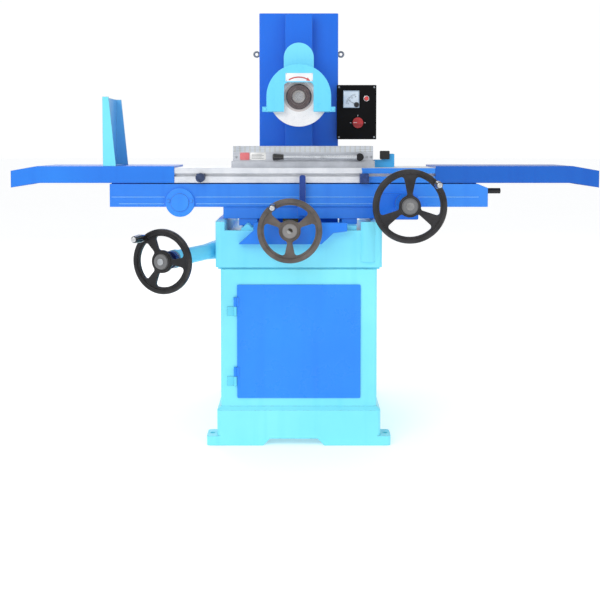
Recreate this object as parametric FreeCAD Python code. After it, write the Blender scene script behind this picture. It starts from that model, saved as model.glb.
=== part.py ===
import FreeCAD, Part
import math
import os

# Manual surface grinder with a hand-fed table, a hand-fed cross slide and a hand-raised wheel head.
# Millimetres. +Z is up, +X is to the operator's right, and the operator stands at -Y.
# The origin is the centre of the four anchor holes, at floor level.

V = FreeCAD.Vector

# ---- fits and general clearances ----
running_fit = 0.05  # radial clearance of a shaft that turns in a bore
seat_fit = 0.02  # radial clearance of pieces clamped on one another
oil_film = 0.05  # gap between sliding way faces
gap = 0.3  # gap between pieces that only pass each other
sheet = 3.0  # sheet metal thickness

# ---- floor casting ----
base_width = 500.0
base_depth = 700.0
base_height = 566.0
base_wall = 14.0
plinth_lip = 12.0  # how far the plinth stands out
plinth_height = 112.0
plinth_slope = 13.0
floor_web_z = 60.0
floor_web_thickness = 12.0
ear_reach = 33.0  # foot ear beyond the plinth
ear_depth = 76.0
ear_thickness = 31.0
anchor_radius = 8.0
arch_width = 197.0
arch_height = 22.0
arch_offset = -16.0

# ---- door ----
door_width = 394.0
door_height = 365.0
door_bottom = 152.0
door_thickness = 4.0
door_lap = 10.0  # door beyond the opening, all round
door_flange_depth = 12.0
hinge_radius = 5.0
hinge_pin_radius = 3.0
hinge_length = 60.0
hinge_inset = 40.0  # hinge from the door's top and bottom edges

# ---- bed ----
bed_width = 532.0
bed_depth = 700.0
bed_height = 152.0
bed_groove = 6.0  # shadow groove over the floor casting
bed_groove_depth = 8.0
bed_wall = 16.0
cheek_thickness = 30.0
trough_depth = 48.0
front_wall_drop = 28.0
deck_thickness = 15.0
way_spacing = 330.0
way_width = 40.0
way_height = 26.0
vee_height = 12.0
vee_half_width = 16.0
way_rear = 56.0
rib_x = 220.0
rib_width = 46.0
rib_bulge = 10.0
rib_height = 128.0

# ---- column ----
column_width = 282.0
column_front = 60.0
column_depth = 290.0
column_top = 1430.0
column_wall = 16.0
way_stem_half = 30.0
way_flange_half = 48.0
way_flange_thickness = 18.0
way_stem_depth = 24.0
column_way_bottom = 905.0
slot_width = 16.0
cover_lap = 8.0
column_window_width = 200.0
column_window_bottom = 740.0
column_window_top = 1380.0
eye_bolt_height = 1292.0
eye_bolt_ring = 9.0
eye_bolt_wire = 3.5

# ---- saddle ----
saddle_length = 1230.0
saddle_front = -275.0
saddle_depth = 250.0
saddle_bottom = 760.0
saddle_top = 835.0
saddle_block_half = 246.0
saddle_block_bottom = 722.0
saddle_block_inset = 5.0
trough_width = 90.0
trough_floor = 786.0
table_vee_y = -222.0
table_flat_y = -78.0
table_way_half = 17.5
table_way_height = 11.0
saddle_chamfer_x = 32.0
saddle_chamfer_z = 13.0

# ---- table ----
table_centre = 20.0
table_length = 850.0
table_front = -270.0
table_width = 240.0
table_bottom = 838.0
table_top = 887.0
tslot_z = 864.0
tslot_mouth = 10.0
tslot_mouth_depth = 8.0
tslot_inner = 18.0
tslot_inner_depth = 8.0
chuck_slot_y = -150.0
wing_length = 532.0
wing_rise = 6.0
wing_lap = 2.0
droop_length = 85.0
droop = 15.0
table_travel_left = 150.0
table_travel_right = 230.0

# ---- chuck ----
chuck_centre = 14.0
chuck_length = 462.0
chuck_width = 150.0
chuck_y = -150.0
chuck_foot_height = 22.0
chuck_body_height = 29.0
chuck_plate_height = 20.0
chuck_foot_lip = 7.0
lever_x = 200.0
lever_z = 922.0
lever_length = 286.0
lever_knob_length = 46.0

# ---- table handwheel, rack and pinion ----
pinion_x = 342.0
pinion_module = 2.5
pinion_teeth = 20
pinion_face = 30.0
rack_width = 24.0
gear_backlash = 0.3
pinion_shaft_radius = 12.0
pinion_tail_radius = 10.0
table_wheel_radius = 115.0
table_wheel_y = -445.0
table_wheel_grip_angle = 40.0

# ---- cross-feed handwheel ----
cross_x = -28.0
cross_z = 696.0
cross_screw_radius = 9.0
cross_wheel_radius = 101.0
cross_wheel_y = -430.0
cross_grip_angle = 125.0
bracket_thickness = 28.0

# ---- elevation drive ----
screw_x = -89.0
screw_y = 205.0
screw_radius = 12.0
shaft_z = 618.0
shaft_yaw = 22.0  # handwheel shaft, turned from -Y towards -X
shaft_radius = 10.0
elevation_wheel_distance = 838.0  # along the shaft from the screw
elevation_wheel_radius = 97.0
elevation_grip_angle = 128.0
tube_radius = 25.0
bevel_teeth = 24
bevel_module = 2.0
bevel_face = 8.0
head_down = 60.0
head_up = 150.0

# ---- wheel head ----
spindle_z = 1123.0
wheel_y = -150.0
head_half = 51.0
head_bottom = 1078.0
head_front = -112.0
motor_z = 1257.0
slide_half = 75.0
slide_top = 1205.0
bearing_outer = 36.0
bearing_width = 18.0
spindle_radius = 17.0
spindle_nose_radius = 15.9
belt_pocket_depth = 20.0
head_wall = 7.0
cover_thickness = 5.0
motor_radius = 43.0
spindle_pulley_radius = 23.0
motor_pulley_radius = 27.6
belt_thickness = 4.0
belt_width = 14.0
motor_shaft_radius = 9.0
wheel_radius = 100.0
wheel_thickness = 13.0
flange_radius = 42.0
guard_radius = 108.0
guard_bottom = 1072.0
guard_depth = 60.0
guard_sheet = 3.5
guard_mouth_half = 49.0
guard_mouth_top = 1170.0

# ---- control box ----
panel_left = 135.0
panel_right = 276.0
panel_bottom = 981.0
panel_top = 1174.0
panel_front = 37.0
box_depth = 90.0
ammeter_x = 186.0
ammeter_z = 1123.0
ammeter_width = 57.0
ammeter_height = 61.0
lamp_x = 240.0
lamp_z = 1126.0
switch_x = 210.0
switch_z = 1040.0


# ---- shape helpers ----
def box(x0, x1, y0, y1, z0, z1):
    return Part.makeBox(x1 - x0, y1 - y0, z1 - z0, V(x0, y0, z0))


def xcyl(y, z, radius, x0, x1):
    return Part.makeCylinder(radius, x1 - x0, V(x0, y, z), V(1, 0, 0))


def ycyl(x, z, radius, y0, y1):
    return Part.makeCylinder(radius, y1 - y0, V(x, y0, z), V(0, 1, 0))


def zcyl(x, y, radius, z0, z1):
    return Part.makeCylinder(radius, z1 - z0, V(x, y, z0), V(0, 0, 1))


def ycone(x, z, radius0, radius1, y0, y1):
    return Part.makeCone(radius0, radius1, y1 - y0, V(x, y0, z), V(0, 1, 0))


def polygon_face(points):
    return Part.Face(Part.makePolygon(points + [points[0]]))


def prism_xz(points, y0, y1):
    face = polygon_face([V(x, y0, z) for x, z in points])
    return face.extrude(V(0, y1 - y0, 0))


def prism_yz(points, x0, x1):
    face = polygon_face([V(x0, y, z) for y, z in points])
    return face.extrude(V(x1 - x0, 0, 0))


def fuse(first, *others):
    return first.multiFuse(list(others)).removeSplitter()


def cut(shape, *tools):
    return shape.cut(list(tools))


def mirrored_x(shape):
    return shape.mirror(V(0, 0, 0), V(1, 0, 0))


def edges_along(shape, direction, keep=lambda point: True):
    """Straight edges parallel to a direction whose middle passes the keep test."""
    found = []
    for edge in shape.Edges:
        if not isinstance(edge.Curve, Part.Line) or edge.Length < 1.0:
            continue
        middle = edge.valueAt((edge.FirstParameter + edge.LastParameter) / 2)
        along = abs(edge.tangentAt(edge.FirstParameter).dot(direction))
        if along > 0.999 and keep(middle):
            found.append(edge)
    return found


def rounded(shape, radius, direction, keep=lambda point: True):
    return shape.makeFillet(radius, edges_along(shape, direction, keep))


def bevelled(shape, size, direction, keep=lambda point: True):
    return shape.makeChamfer(size, edges_along(shape, direction, keep))


# ---- gear outlines ----
def involute_point(base_radius, radius, offset_angle, side):
    """Point of an involute flank at a radius; side is +1 or -1 of the tooth's middle."""
    roll = math.sqrt(max((radius / base_radius) ** 2 - 1, 0))
    swing = roll - math.atan(roll)
    angle = side * (offset_angle - swing)
    return radius * math.sin(angle), radius * math.cos(angle)


def spur_gear(module, teeth, width):
    """Involute gear along +Y from the origin, with one tooth pointing to +Z."""
    pressure = math.radians(20)
    pitch_radius = module * teeth / 2
    base_radius = pitch_radius * math.cos(pressure)
    tip_radius = pitch_radius + module
    root_radius = pitch_radius - 1.25 * module
    half_tooth = (math.pi * module / 2 - gear_backlash) / 2 / pitch_radius
    offset = half_tooth + math.tan(pressure) - pressure
    flank_radii = [base_radius + (tip_radius - base_radius) * i / 4 for i in range(5)]
    outline = []
    for tooth in range(teeth):
        turn = 2 * math.pi * tooth / teeth
        left = [involute_point(base_radius, r, offset, -1) for r in flank_radii]
        right = [involute_point(base_radius, r, offset, 1) for r in reversed(flank_radii)]
        foot = root_radius / base_radius
        left.insert(0, (left[0][0] * foot, left[0][1] * foot))
        right.append((right[-1][0] * foot, right[-1][1] * foot))
        for x, z in left + right:
            across = x * math.cos(turn) + z * math.sin(turn)
            up = z * math.cos(turn) - x * math.sin(turn)
            outline.append((across, up))
    return prism_xz(outline, 0, width)


def bevel_outline(teeth, pitch_radius, module, height):
    """Mitre gear section square to its axis; one tooth is centred on +X."""
    lean = math.cos(math.radians(45))
    tip_rise = 0.9 * module
    root_drop = 1.15 * module
    slope = 2 * math.tan(math.radians(20))
    thickness = math.pi * module / 2 - gear_backlash
    tip_radius = pitch_radius + tip_rise / lean
    root_radius = pitch_radius - root_drop / lean
    tip_half = (thickness * tip_radius / pitch_radius - slope * tip_rise) / 2 / tip_radius
    root_half = (thickness * root_radius / pitch_radius + slope * root_drop) / 2 / root_radius
    points = []
    for tooth in range(teeth):
        turn = 2 * math.pi * tooth / teeth
        for radius, angle in (
            (root_radius, turn - root_half),
            (tip_radius, turn - tip_half),
            (tip_radius, turn + tip_half),
            (root_radius, turn + root_half),
        ):
            points.append(V(radius * math.cos(angle), radius * math.sin(angle), height))
    return points


def bevel_gear(phase_teeth):
    """Mitre gear on +Z with its pitch cone's apex at the origin."""
    large = bevel_module * bevel_teeth / 2
    small = large - bevel_face
    wires = []
    for height in (small, large):
        scale = height / large
        points = bevel_outline(bevel_teeth, large * scale, bevel_module * scale, height)
        wires.append(Part.makePolygon(points + [points[0]]))
    gear = Part.makeLoft(wires, True, True)
    gear.rotate(V(0, 0, 0), V(0, 0, 1), 360.0 / bevel_teeth * phase_teeth)
    return gear


# ---- floor casting and door ----
bed_bottom = base_height
plinth_half_x = base_width / 2 + plinth_lip
plinth_half_y = base_depth / 2 + plinth_lip
ear_outer = plinth_half_x + ear_reach
anchor_x = (plinth_half_x + ear_outer) / 2
anchor_y = plinth_half_y - ear_depth / 2
door_half = door_width / 2
door_top = door_bottom + door_height
door_back = -base_depth / 2 - gap
door_front = door_back - door_thickness
hinge_x = -door_half - hinge_radius - 1.0
hinge_y = -base_depth / 2 - gap - hinge_radius


def base_cabinet():
    half_x = base_width / 2
    half_y = base_depth / 2
    body = box(-half_x, half_x, -half_y, half_y, 0, base_height)
    body = rounded(body, 10.0, V(0, 0, 1))
    plinth = box(-plinth_half_x, plinth_half_x, -plinth_half_y, plinth_half_y, 0, plinth_height)
    plinth = rounded(plinth, 14.0, V(0, 0, 1))
    ledge = plinth.copy()
    ledge.translate(V(0, 0, plinth_slope))
    ledge = ledge.makeChamfer(
        plinth_lip - 0.5,
        [e for e in ledge.Edges if e.BoundBox.ZMin > plinth_height + plinth_slope - 0.01],
    )
    casting = fuse(body, plinth, ledge)
    for side in (-1, 1):
        x0, x1 = sorted((side * (plinth_half_x - 20), side * ear_outer))
        for end in (-1, 1):
            y0, y1 = sorted((end * (plinth_half_y - ear_depth), end * plinth_half_y))
            ear = box(x0, x1, y0, y1, 0, ear_thickness)
            ear = rounded(ear, 12.0, V(0, 0, 1), lambda p: abs(p.x) > plinth_half_x)
            casting = casting.fuse(ear)
    holes = [
        zcyl(sx * anchor_x, sy * anchor_y, anchor_radius, -1, ear_thickness + 1)
        for sx in (-1, 1)
        for sy in (-1, 1)
    ]
    inner_x = half_x - base_wall
    inner_y = half_y - base_wall
    web_top = floor_web_z + floor_web_thickness
    cavity = box(-inner_x, inner_x, -inner_y, inner_y, web_top, base_height - base_wall)
    under = box(-inner_x, inner_x, -inner_y, inner_y, -1, floor_web_z)
    opening = box(
        -door_half + door_lap,
        door_half - door_lap,
        -half_y - 1,
        -inner_y + 1,
        door_bottom + door_lap,
        door_top - door_lap,
    )
    arch_points = [
        (arch_offset - arch_width / 2, -1),
        (arch_offset - arch_width / 2 + arch_height, arch_height),
        (arch_offset + arch_width / 2 - arch_height, arch_height),
        (arch_offset + arch_width / 2, -1),
    ]
    arch = prism_xz(arch_points, -plinth_half_y - 1, plinth_half_y + 1)
    casting = cut(casting, cavity, under, opening, arch, *holes)
    return casting.removeSplitter()


def cabinet_door():
    leaf = box(-door_half, door_half, door_front, door_back, door_bottom, door_top)
    leaf = rounded(leaf, 4.0, V(0, 1, 0))
    rim_half = door_half - door_lap - 4.0
    rim_bottom = door_bottom + door_lap + 4.0
    rim_top = door_top - door_lap - 4.0
    rim = box(-rim_half, rim_half, door_back, door_back + door_flange_depth, rim_bottom, rim_top)
    pocket = box(
        -rim_half + sheet,
        rim_half - sheet,
        door_back,
        door_back + door_flange_depth + 1,
        rim_bottom + sheet,
        rim_top - sheet,
    )
    door = leaf.fuse(rim.cut(pocket))
    for z in (door_bottom + hinge_inset, door_top - hinge_inset - hinge_length):
        middle = z + hinge_length / 2
        barrel = zcyl(hinge_x, hinge_y, hinge_radius, middle + gap, z + hinge_length)
        strap = box(hinge_x, -door_half + 6, door_front - 2.0, door_front, middle + gap, z + hinge_length)
        bore = zcyl(hinge_x, hinge_y, hinge_pin_radius + running_fit, z, z + hinge_length + 1)
        door = fuse(door, barrel, strap).cut(bore)
    return door


def door_hinges():
    """Two lift-off hinges: each leaf is screwed to the casting and carries its pin."""
    face = -base_depth / 2
    pieces = []
    for z in (door_bottom + hinge_inset, door_top - hinge_inset - hinge_length):
        middle = z + hinge_length / 2
        leaf = box(hinge_x - 26, hinge_x, face - 2.5, face, z, middle)
        barrel = zcyl(hinge_x, hinge_y, hinge_radius, z, middle)
        pin = zcyl(hinge_x, hinge_y, hinge_pin_radius, middle, z + hinge_length - 2)
        link = box(hinge_x - hinge_radius, hinge_x, hinge_y, face, z, middle)
        pieces.append(fuse(barrel, leaf, pin, link))
    return Part.makeCompound(pieces)


# ---- bed ----
bed_top = bed_bottom + bed_height
deck_top = bed_top - trough_depth
deck_bottom = deck_top - deck_thickness
front_wall_top = bed_top - front_wall_drop
way_x = way_spacing / 2
rail_top = deck_top + way_height
flat_top = rail_top + 8.0
shaft_direction = V(
    -math.sin(math.radians(shaft_yaw)),
    -math.cos(math.radians(shaft_yaw)),
    0,
)
bevel_apex = V(screw_x, screw_y, shaft_z)


def on_shaft(distance):
    return bevel_apex + shaft_direction * distance


def along_shaft(radius, start, end):
    return Part.makeCylinder(radius, end - start, on_shaft(start), shaft_direction)


def vee_points(centre, base_z, offset):
    """Section of the bed's and saddle's inverted vee way; offset grows it on every side."""
    flat_half = vee_half_width - vee_height
    grow = offset / math.cos(math.radians(45)) - offset
    return [
        (centre - vee_half_width - offset - grow, base_z - offset),
        (centre - flat_half - grow, base_z + vee_height + offset),
        (centre + flat_half + grow, base_z + vee_height + offset),
        (centre + vee_half_width + offset + grow, base_z - offset),
    ]


def bed():
    half_x = bed_width / 2
    half_y = bed_depth / 2
    groove_top = bed_bottom + bed_groove
    body = box(-half_x, half_x, -half_y, half_y, groove_top, bed_top)
    body = rounded(body, 12.0, V(0, 0, 1))
    foot = box(
        -half_x + bed_groove_depth,
        half_x - bed_groove_depth,
        -half_y + bed_groove_depth,
        half_y - bed_groove_depth,
        bed_bottom,
        groove_top,
    )
    body = body.fuse(foot)
    trough = box(
        -half_x + cheek_thickness,
        half_x - cheek_thickness,
        -half_y + bed_wall,
        half_y + 1,
        deck_top,
        bed_top + 1,
    )
    front_drop = box(
        -half_x + cheek_thickness,
        half_x - cheek_thickness,
        -half_y - 1,
        -half_y + bed_wall + 1,
        front_wall_top,
        bed_top + 1,
    )
    hollow = box(
        -half_x + bed_wall,
        half_x - bed_wall,
        -half_y + bed_wall,
        half_y - bed_wall,
        bed_bottom - 1,
        deck_bottom,
    )
    body = cut(body, trough, front_drop, hollow)
    rail_front = -half_y + bed_wall
    for side in (-1, 1):
        x = side * way_x
        rail = box(x - way_width / 2, x + way_width / 2, rail_front, way_rear, deck_top, rail_top)
        body = body.fuse(rail)
    vee = prism_xz(vee_points(-way_x, rail_top, 0), rail_front, way_rear)
    flat_half = way_width / 2
    flat = box(way_x - flat_half, way_x + flat_half, rail_front, way_rear, rail_top, flat_top)
    rib_radius = (rib_width**2 / 4 + rib_bulge**2) / (2 * rib_bulge)
    rib = zcyl(rib_x, -half_y - rib_bulge + rib_radius, rib_radius, bed_top - rib_height, bed_top)
    rib_limit = box(
        rib_x - rib_width / 2,
        rib_x + rib_width / 2,
        -half_y - rib_bulge - 1,
        -half_y + 2,
        bed_top - rib_height,
        bed_top,
    )
    body = fuse(body, vee, flat, rib.common(rib_limit))
    screw_bore = zcyl(screw_x, screw_y, bearing_ring_radius + seat_fit, deck_bottom - 1, deck_top + 1)
    shaft_bore = along_shaft(shaft_radius + 4.0, 380, 640)
    notch = box(
        cross_x - 20,
        cross_x + 20,
        -half_y - 1,
        -half_y + bed_wall + 1,
        cross_z - 20,
        front_wall_top + 1,
    )
    return cut(body, screw_bore, shaft_bore, notch).removeSplitter()


# ---- column ----
bearing_ring_radius = 24.0
column_back = column_front + column_depth
column_bottom = deck_top
flange_front = column_front - way_stem_depth - way_flange_thickness
flange_back = column_front - way_stem_depth
slot_x = -(way_stem_half + way_flange_half) / 2
arm_bottom = head_bottom + 12.0
arm_top = arm_bottom + 80.0


def column():
    half = column_width / 2
    body = box(-half, half, column_front, column_back, column_bottom, column_top)
    body = rounded(body, 5.0, V(0, 0, 1))
    body = rounded(body, 3.0, V(1, 0, 0), lambda p: p.z > column_top - 1)
    inner = box(
        -half + column_wall,
        half - column_wall,
        column_front + column_wall,
        column_back - column_wall,
        column_bottom - 1,
        column_top - column_wall,
    )
    window = box(
        -column_window_width / 2,
        column_window_width / 2,
        column_back - column_wall - 1,
        column_back + 1,
        column_window_bottom,
        column_window_top,
    )
    stem = box(
        -way_stem_half, way_stem_half, flange_back, column_front + 1, column_way_bottom, column_top - 8
    )
    flange = box(
        -way_flange_half, way_flange_half, flange_front, flange_back, column_way_bottom, column_top - 8
    )
    flange = bevelled(flange, 1.5, V(0, 0, 1), lambda p: p.y < flange_front + 1)
    slot = box(
        slot_x - slot_width / 2,
        slot_x + slot_width / 2,
        column_front - 1,
        column_front + column_wall + 1,
        arm_bottom - head_down - 6,
        arm_top + head_up + 6,
    )
    steady = zcyl(screw_x, screw_y, 8.0 + running_fit, column_top - column_wall - 1, column_top - 4)
    eye_holes = xcyl(
        column_front + 90, eye_bolt_height, eye_shank_radius + seat_fit, -half - 1, half + 1
    )
    body = cut(body, inner, window)
    body = fuse(body, stem, flange)
    return cut(body, slot, steady, eye_holes)


eye_shank_radius = 5.0


def eye_bolts():
    half = column_width / 2
    y = column_front + 90
    shank = xcyl(y, eye_bolt_height, eye_shank_radius, half - column_wall, half + 4)
    collar = xcyl(y, eye_bolt_height, eye_shank_radius + 4, half, half + 4)
    centre = V(half + 1 + eye_bolt_ring + eye_bolt_wire, y, eye_bolt_height)
    ring = Part.makeTorus(eye_bolt_ring, eye_bolt_wire, centre, V(0, 1, 0))
    bolt = shank.fuse(collar).fuse(ring)
    other = bolt.copy()
    other.rotate(V(0, y, 0), V(0, 0, 1), 180)
    return Part.makeCompound([bolt, other])


def column_rear_cover():
    half = column_window_width / 2 + cover_lap
    z0 = column_window_bottom - cover_lap
    z1 = column_window_top + cover_lap
    plate = box(-half, half, column_back, column_back + sheet, z0, z1)
    plate = rounded(plate, 10.0, V(0, 1, 0))
    slots = []
    for row in range(7):
        z = z1 - 60 - 16 * row
        slots.append(box(-45, 45, column_back - 1, column_back + sheet + 1, z, z + 5))
    return cut(plate, *slots)


# ---- elevation drive ----
large_bevel = bevel_module * bevel_teeth / 2
gear_hub_top = large_bevel + 6.0
tube_inner_end = (bed_width / 2 + screw_x) / math.sin(math.radians(shaft_yaw))
tube_outer_end = elevation_wheel_distance - 63.0
bracket_start = 44.0
bracket_end = 74.0


def bearing_bracket():
    """Hangs under the deck: it carries the handwheel shaft and the foot of the elevating screw."""
    plate_bottom = deck_bottom - 7.0
    ring = zcyl(screw_x, screw_y, bearing_ring_radius, plate_bottom, deck_top + 2)
    middle = on_shaft((bracket_start + bracket_end) / 2)
    plate = Part.makeBox(80, 140, deck_bottom - plate_bottom, V(-40, -110, plate_bottom))
    plate.rotate(V(0, 0, 0), V(0, 0, 1), -shaft_yaw)
    plate.translate(V(screw_x, screw_y, 0))
    width = shaft_radius + 12.0
    length = bracket_end - bracket_start
    block = Part.makeBox(2 * width, length, deck_bottom - shaft_z + width, V(-width, -length / 2, 0))
    block.rotate(V(0, 0, 0), V(0, 0, 1), -shaft_yaw)
    block.translate(V(middle.x, middle.y, shaft_z - width))
    bracket = fuse(ring, plate, block)
    screw_bore = zcyl(screw_x, screw_y, screw_radius + running_fit, plate_bottom - 1, deck_top + 3)
    shaft_bore = along_shaft(shaft_radius + running_fit, bracket_start - 5, bracket_end + 5)
    return cut(bracket, screw_bore, shaft_bore)


def elevating_screw():
    gear_seat = shaft_z + large_bevel - bevel_face
    stem = zcyl(screw_x, screw_y, screw_radius - 3, gear_seat, shaft_z + gear_hub_top)
    thread = zcyl(screw_x, screw_y, screw_radius, shaft_z + gear_hub_top, column_top - column_wall - 14)
    collar = zcyl(screw_x, screw_y, screw_radius + 6, deck_top + 2 + gap, deck_top + 10)
    journal = zcyl(screw_x, screw_y, 8.0, column_top - column_wall - 14, column_top - 5)
    return fuse(thread, stem, collar, journal)


def bevel_wheel():
    gear = bevel_gear(0.0)
    hub = zcyl(0, 0, 15.0, large_bevel - 1, gear_hub_top)
    gear = gear.fuse(hub)
    gear = gear.cut(zcyl(0, 0, screw_radius - 3 + seat_fit, 0, gear_hub_top + 1))
    gear.rotate(V(0, 0, 0), V(0, 0, 1), -90 - shaft_yaw)
    gear.translate(bevel_apex)
    return gear


def bevel_pinion():
    gear = bevel_gear(0.5)
    hub = zcyl(0, 0, 15.0, large_bevel - 1, large_bevel + 12)
    gear = gear.fuse(hub)
    gear = gear.cut(zcyl(0, 0, shaft_radius + seat_fit, 0, large_bevel + 20))
    # tip the gear's axis from +Z down to -Y, then yaw it on to the handwheel shaft
    gear.rotate(V(0, 0, 0), V(0, 0, 1), 90)
    gear.rotate(V(0, 0, 0), V(1, 0, 0), 90)
    gear.rotate(V(0, 0, 0), V(0, 0, 1), -shaft_yaw)
    gear.translate(bevel_apex)
    return gear


def elevation_shaft():
    inner_end = large_bevel - bevel_face
    body = along_shaft(shaft_radius, inner_end, elevation_wheel_distance + 14)
    collar = along_shaft(shaft_radius + 5, bracket_end + gap, bracket_end + 8)
    return fuse(body, collar)


def elevation_tube():
    body = along_shaft(tube_radius, 300, tube_outer_end)
    flare_end = tube_inner_end + 95
    flare_start = on_shaft(tube_inner_end - 80)
    flare = Part.makeCone(
        tube_radius + 12, tube_radius, flare_end - tube_inner_end + 80, flare_start, shaft_direction
    )
    outside = box(-2000, -bed_width / 2, -2000, 2000, 0, 2000)
    body = fuse(body, flare).common(outside)
    wide_bore = along_shaft(shaft_radius + 5, 200, tube_outer_end - 32)
    bush_bore = along_shaft(shaft_radius + running_fit, 200, tube_outer_end + 1)
    lip = along_shaft(tube_radius + 3, tube_outer_end - 16, tube_outer_end)
    return cut(fuse(body, lip), wide_bore, bush_bore)


def elevation_dial():
    start = tube_outer_end + 1.0
    ring = along_shaft(tube_radius + 1.5, start, start + 24)
    return ring.cut(along_shaft(shaft_radius + seat_fit, start - 1, start + 25))


def elevating_nut():
    """Bronze nut whose arm passes through the column's slot and bolts to the head."""
    middle = (arm_bottom + arm_top) / 2
    hub = zcyl(screw_x, screw_y, screw_radius + 13, middle - 32, middle + 32)
    arm_half = slot_width / 2 - 2
    arm_back = screw_y - 30
    plate = box(slot_x - arm_half, slot_x + arm_half, lip_back, arm_back + 20, arm_bottom, arm_top)
    bridge = box(screw_x, slot_x + arm_half, arm_back, arm_back + 20, middle - 32, middle + 32)
    nut = fuse(hub, plate, bridge)
    return nut.cut(zcyl(screw_x, screw_y, screw_radius + running_fit, middle - 40, middle + 40))


# ---- handwheels ----
def handwheel(radius, rim_width, bore, window_turn):
    """Cast wheel about +Y at the origin with three kidney windows; the operator's side is -Y."""
    rim_half = rim_width / 2
    rim = ycyl(0, 0, radius, -rim_half, rim_half).cut(ycyl(0, 0, radius - 15, -rim_half - 1, rim_half + 1))
    rim = rim.makeFillet(6.0, [e for e in rim.Edges if e.Length > 2 * math.pi * (radius - 1)])
    rim = rim.makeFillet(4.0, [e for e in rim.Edges if abs(e.Length - 2 * math.pi * (radius - 15)) < 1])
    web = ycyl(0, 0, radius - 12, -4, 4)
    hub = ycyl(0, 0, 22, -12, 20)
    boss = ycyl(0, 0, 30, -7, 7)
    inner = 34.0
    outer = radius - 21.0
    windows = []
    for index in range(3):
        windows.append(kidney(inner, outer, 96.0, window_turn + 120.0 * index))
    wheel = cut(fuse(rim, web.cut(windows), hub, boss), ycyl(0, 0, bore, -20, 30))
    return wheel


def kidney(inner, outer, span, turn):
    ring = ycyl(0, 0, outer, -10, 10).cut(ycyl(0, 0, inner, -11, 11))
    reach = outer * 2
    half = math.radians(span / 2)
    wedge = prism_xz(
        [
            (0, 0),
            (reach * math.cos(half), -reach * math.sin(half)),
            (reach * 1.5, 0),
            (reach * math.cos(half), reach * math.sin(half)),
        ],
        -12,
        12,
    )
    window = ring.common(wedge)
    window = window.makeFillet(9.0, edges_along(window, V(0, 1, 0)))
    window.rotate(V(0, 0, 0), V(0, -1, 0), turn)
    return window


def grip_place(radius, angle):
    """Centre of a grip on a wheel at the origin; the angle is from +X towards +Z."""
    turn = math.radians(angle)
    return V((radius - 9) * math.cos(turn), 0, (radius - 9) * math.sin(turn))


grip_length = 58.0
grip_pin_radius = 4.5


def grip_pin(radius, angle):
    place = grip_place(radius, angle)
    shank = ycyl(place.x, place.z, grip_pin_radius, -12 - grip_length, -2)
    shoulder = ycyl(place.x, place.z, 8.0, -11, -6)
    head = ycyl(place.x, place.z, 8.0, -17 - grip_length, -12 - grip_length)
    head = head.makeFillet(2.5, [e for e in head.Edges if e.BoundBox.YMax < -16.9 - grip_length])
    return fuse(shank, shoulder, head)


def grip_sleeve(radius, angle):
    place = grip_place(radius, angle)
    front = -12 - grip_length + gap
    back = -11 - gap
    middle = (front + back) / 2
    sleeve = fuse(
        ycone(place.x, place.z, 10.0, 12.5, front, middle),
        ycone(place.x, place.z, 12.5, 9.5, middle, back),
    )
    return sleeve.cut(ycyl(place.x, place.z, grip_pin_radius + running_fit, front - 1, back + 1))


def wheel_with_pin(radius, rim_width, bore, window_turn, grip_angle):
    """Handwheel with its grip's pin riveted into the rim."""
    return fuse(handwheel(radius, rim_width, bore, window_turn), grip_pin(radius, grip_angle))


def placed_wheel(shape, x, y, z, yaw=0.0):
    moved = shape.copy()
    moved.rotate(V(0, 0, 0), V(0, 0, 1), -yaw)
    moved.translate(V(x, y, z))
    return moved


def elevation_place(shape):
    centre = on_shaft(elevation_wheel_distance)
    return placed_wheel(shape, centre.x, centre.y, centre.z, shaft_yaw)


# ---- cross feed ----
bracket_front = -bed_depth / 2 - bracket_thickness


def cross_feed_bracket():
    top = saddle_block_bottom - 6.0
    points = [
        (-190, bed_top - 69),
        (72, bed_top - 69),
        (109, bed_top - 34),
        (153, bed_top - 28),
        (153, top),
        (-143, top),
        (-143, bed_top - 26),
    ]
    plate = prism_xz(points, bracket_front, -bed_depth / 2)
    boss = ycyl(cross_x, cross_z, 27.0, bracket_front - 17, bracket_front + 1)
    bore = ycyl(cross_x, cross_z, cross_screw_radius + running_fit, bracket_front - 20, 0)
    return fuse(plate, boss).cut(bore)


def cross_feed_screw():
    front = cross_wheel_y - 12
    body = ycyl(cross_x, cross_z, cross_screw_radius, front, table_flat_y + 40)
    collar = ycyl(cross_x, cross_z, 14.0, -bed_depth / 2 + gap, -bed_depth / 2 + 8)
    return fuse(body, collar)


def cross_nut():
    half = 26.0
    block = box(
        cross_x - half, cross_x + half, chuck_y - half, chuck_y + half, cross_z - 20, saddle_block_bottom
    )
    return block.cut(
        ycyl(cross_x, cross_z, cross_screw_radius + running_fit, chuck_y - half - 1, chuck_y + half + 1)
    )


# ---- saddle ----
saddle_back = saddle_front + saddle_depth
pinion_radius = pinion_module * pinion_teeth / 2
pinion_z = 773.0
rack_pitch_z = pinion_z + pinion_radius
saddle_half = saddle_length / 2
cover_x = -386.0
cover_z = 775.0
cover_radius = 47.0
saddle_vee_base = saddle_top


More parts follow.
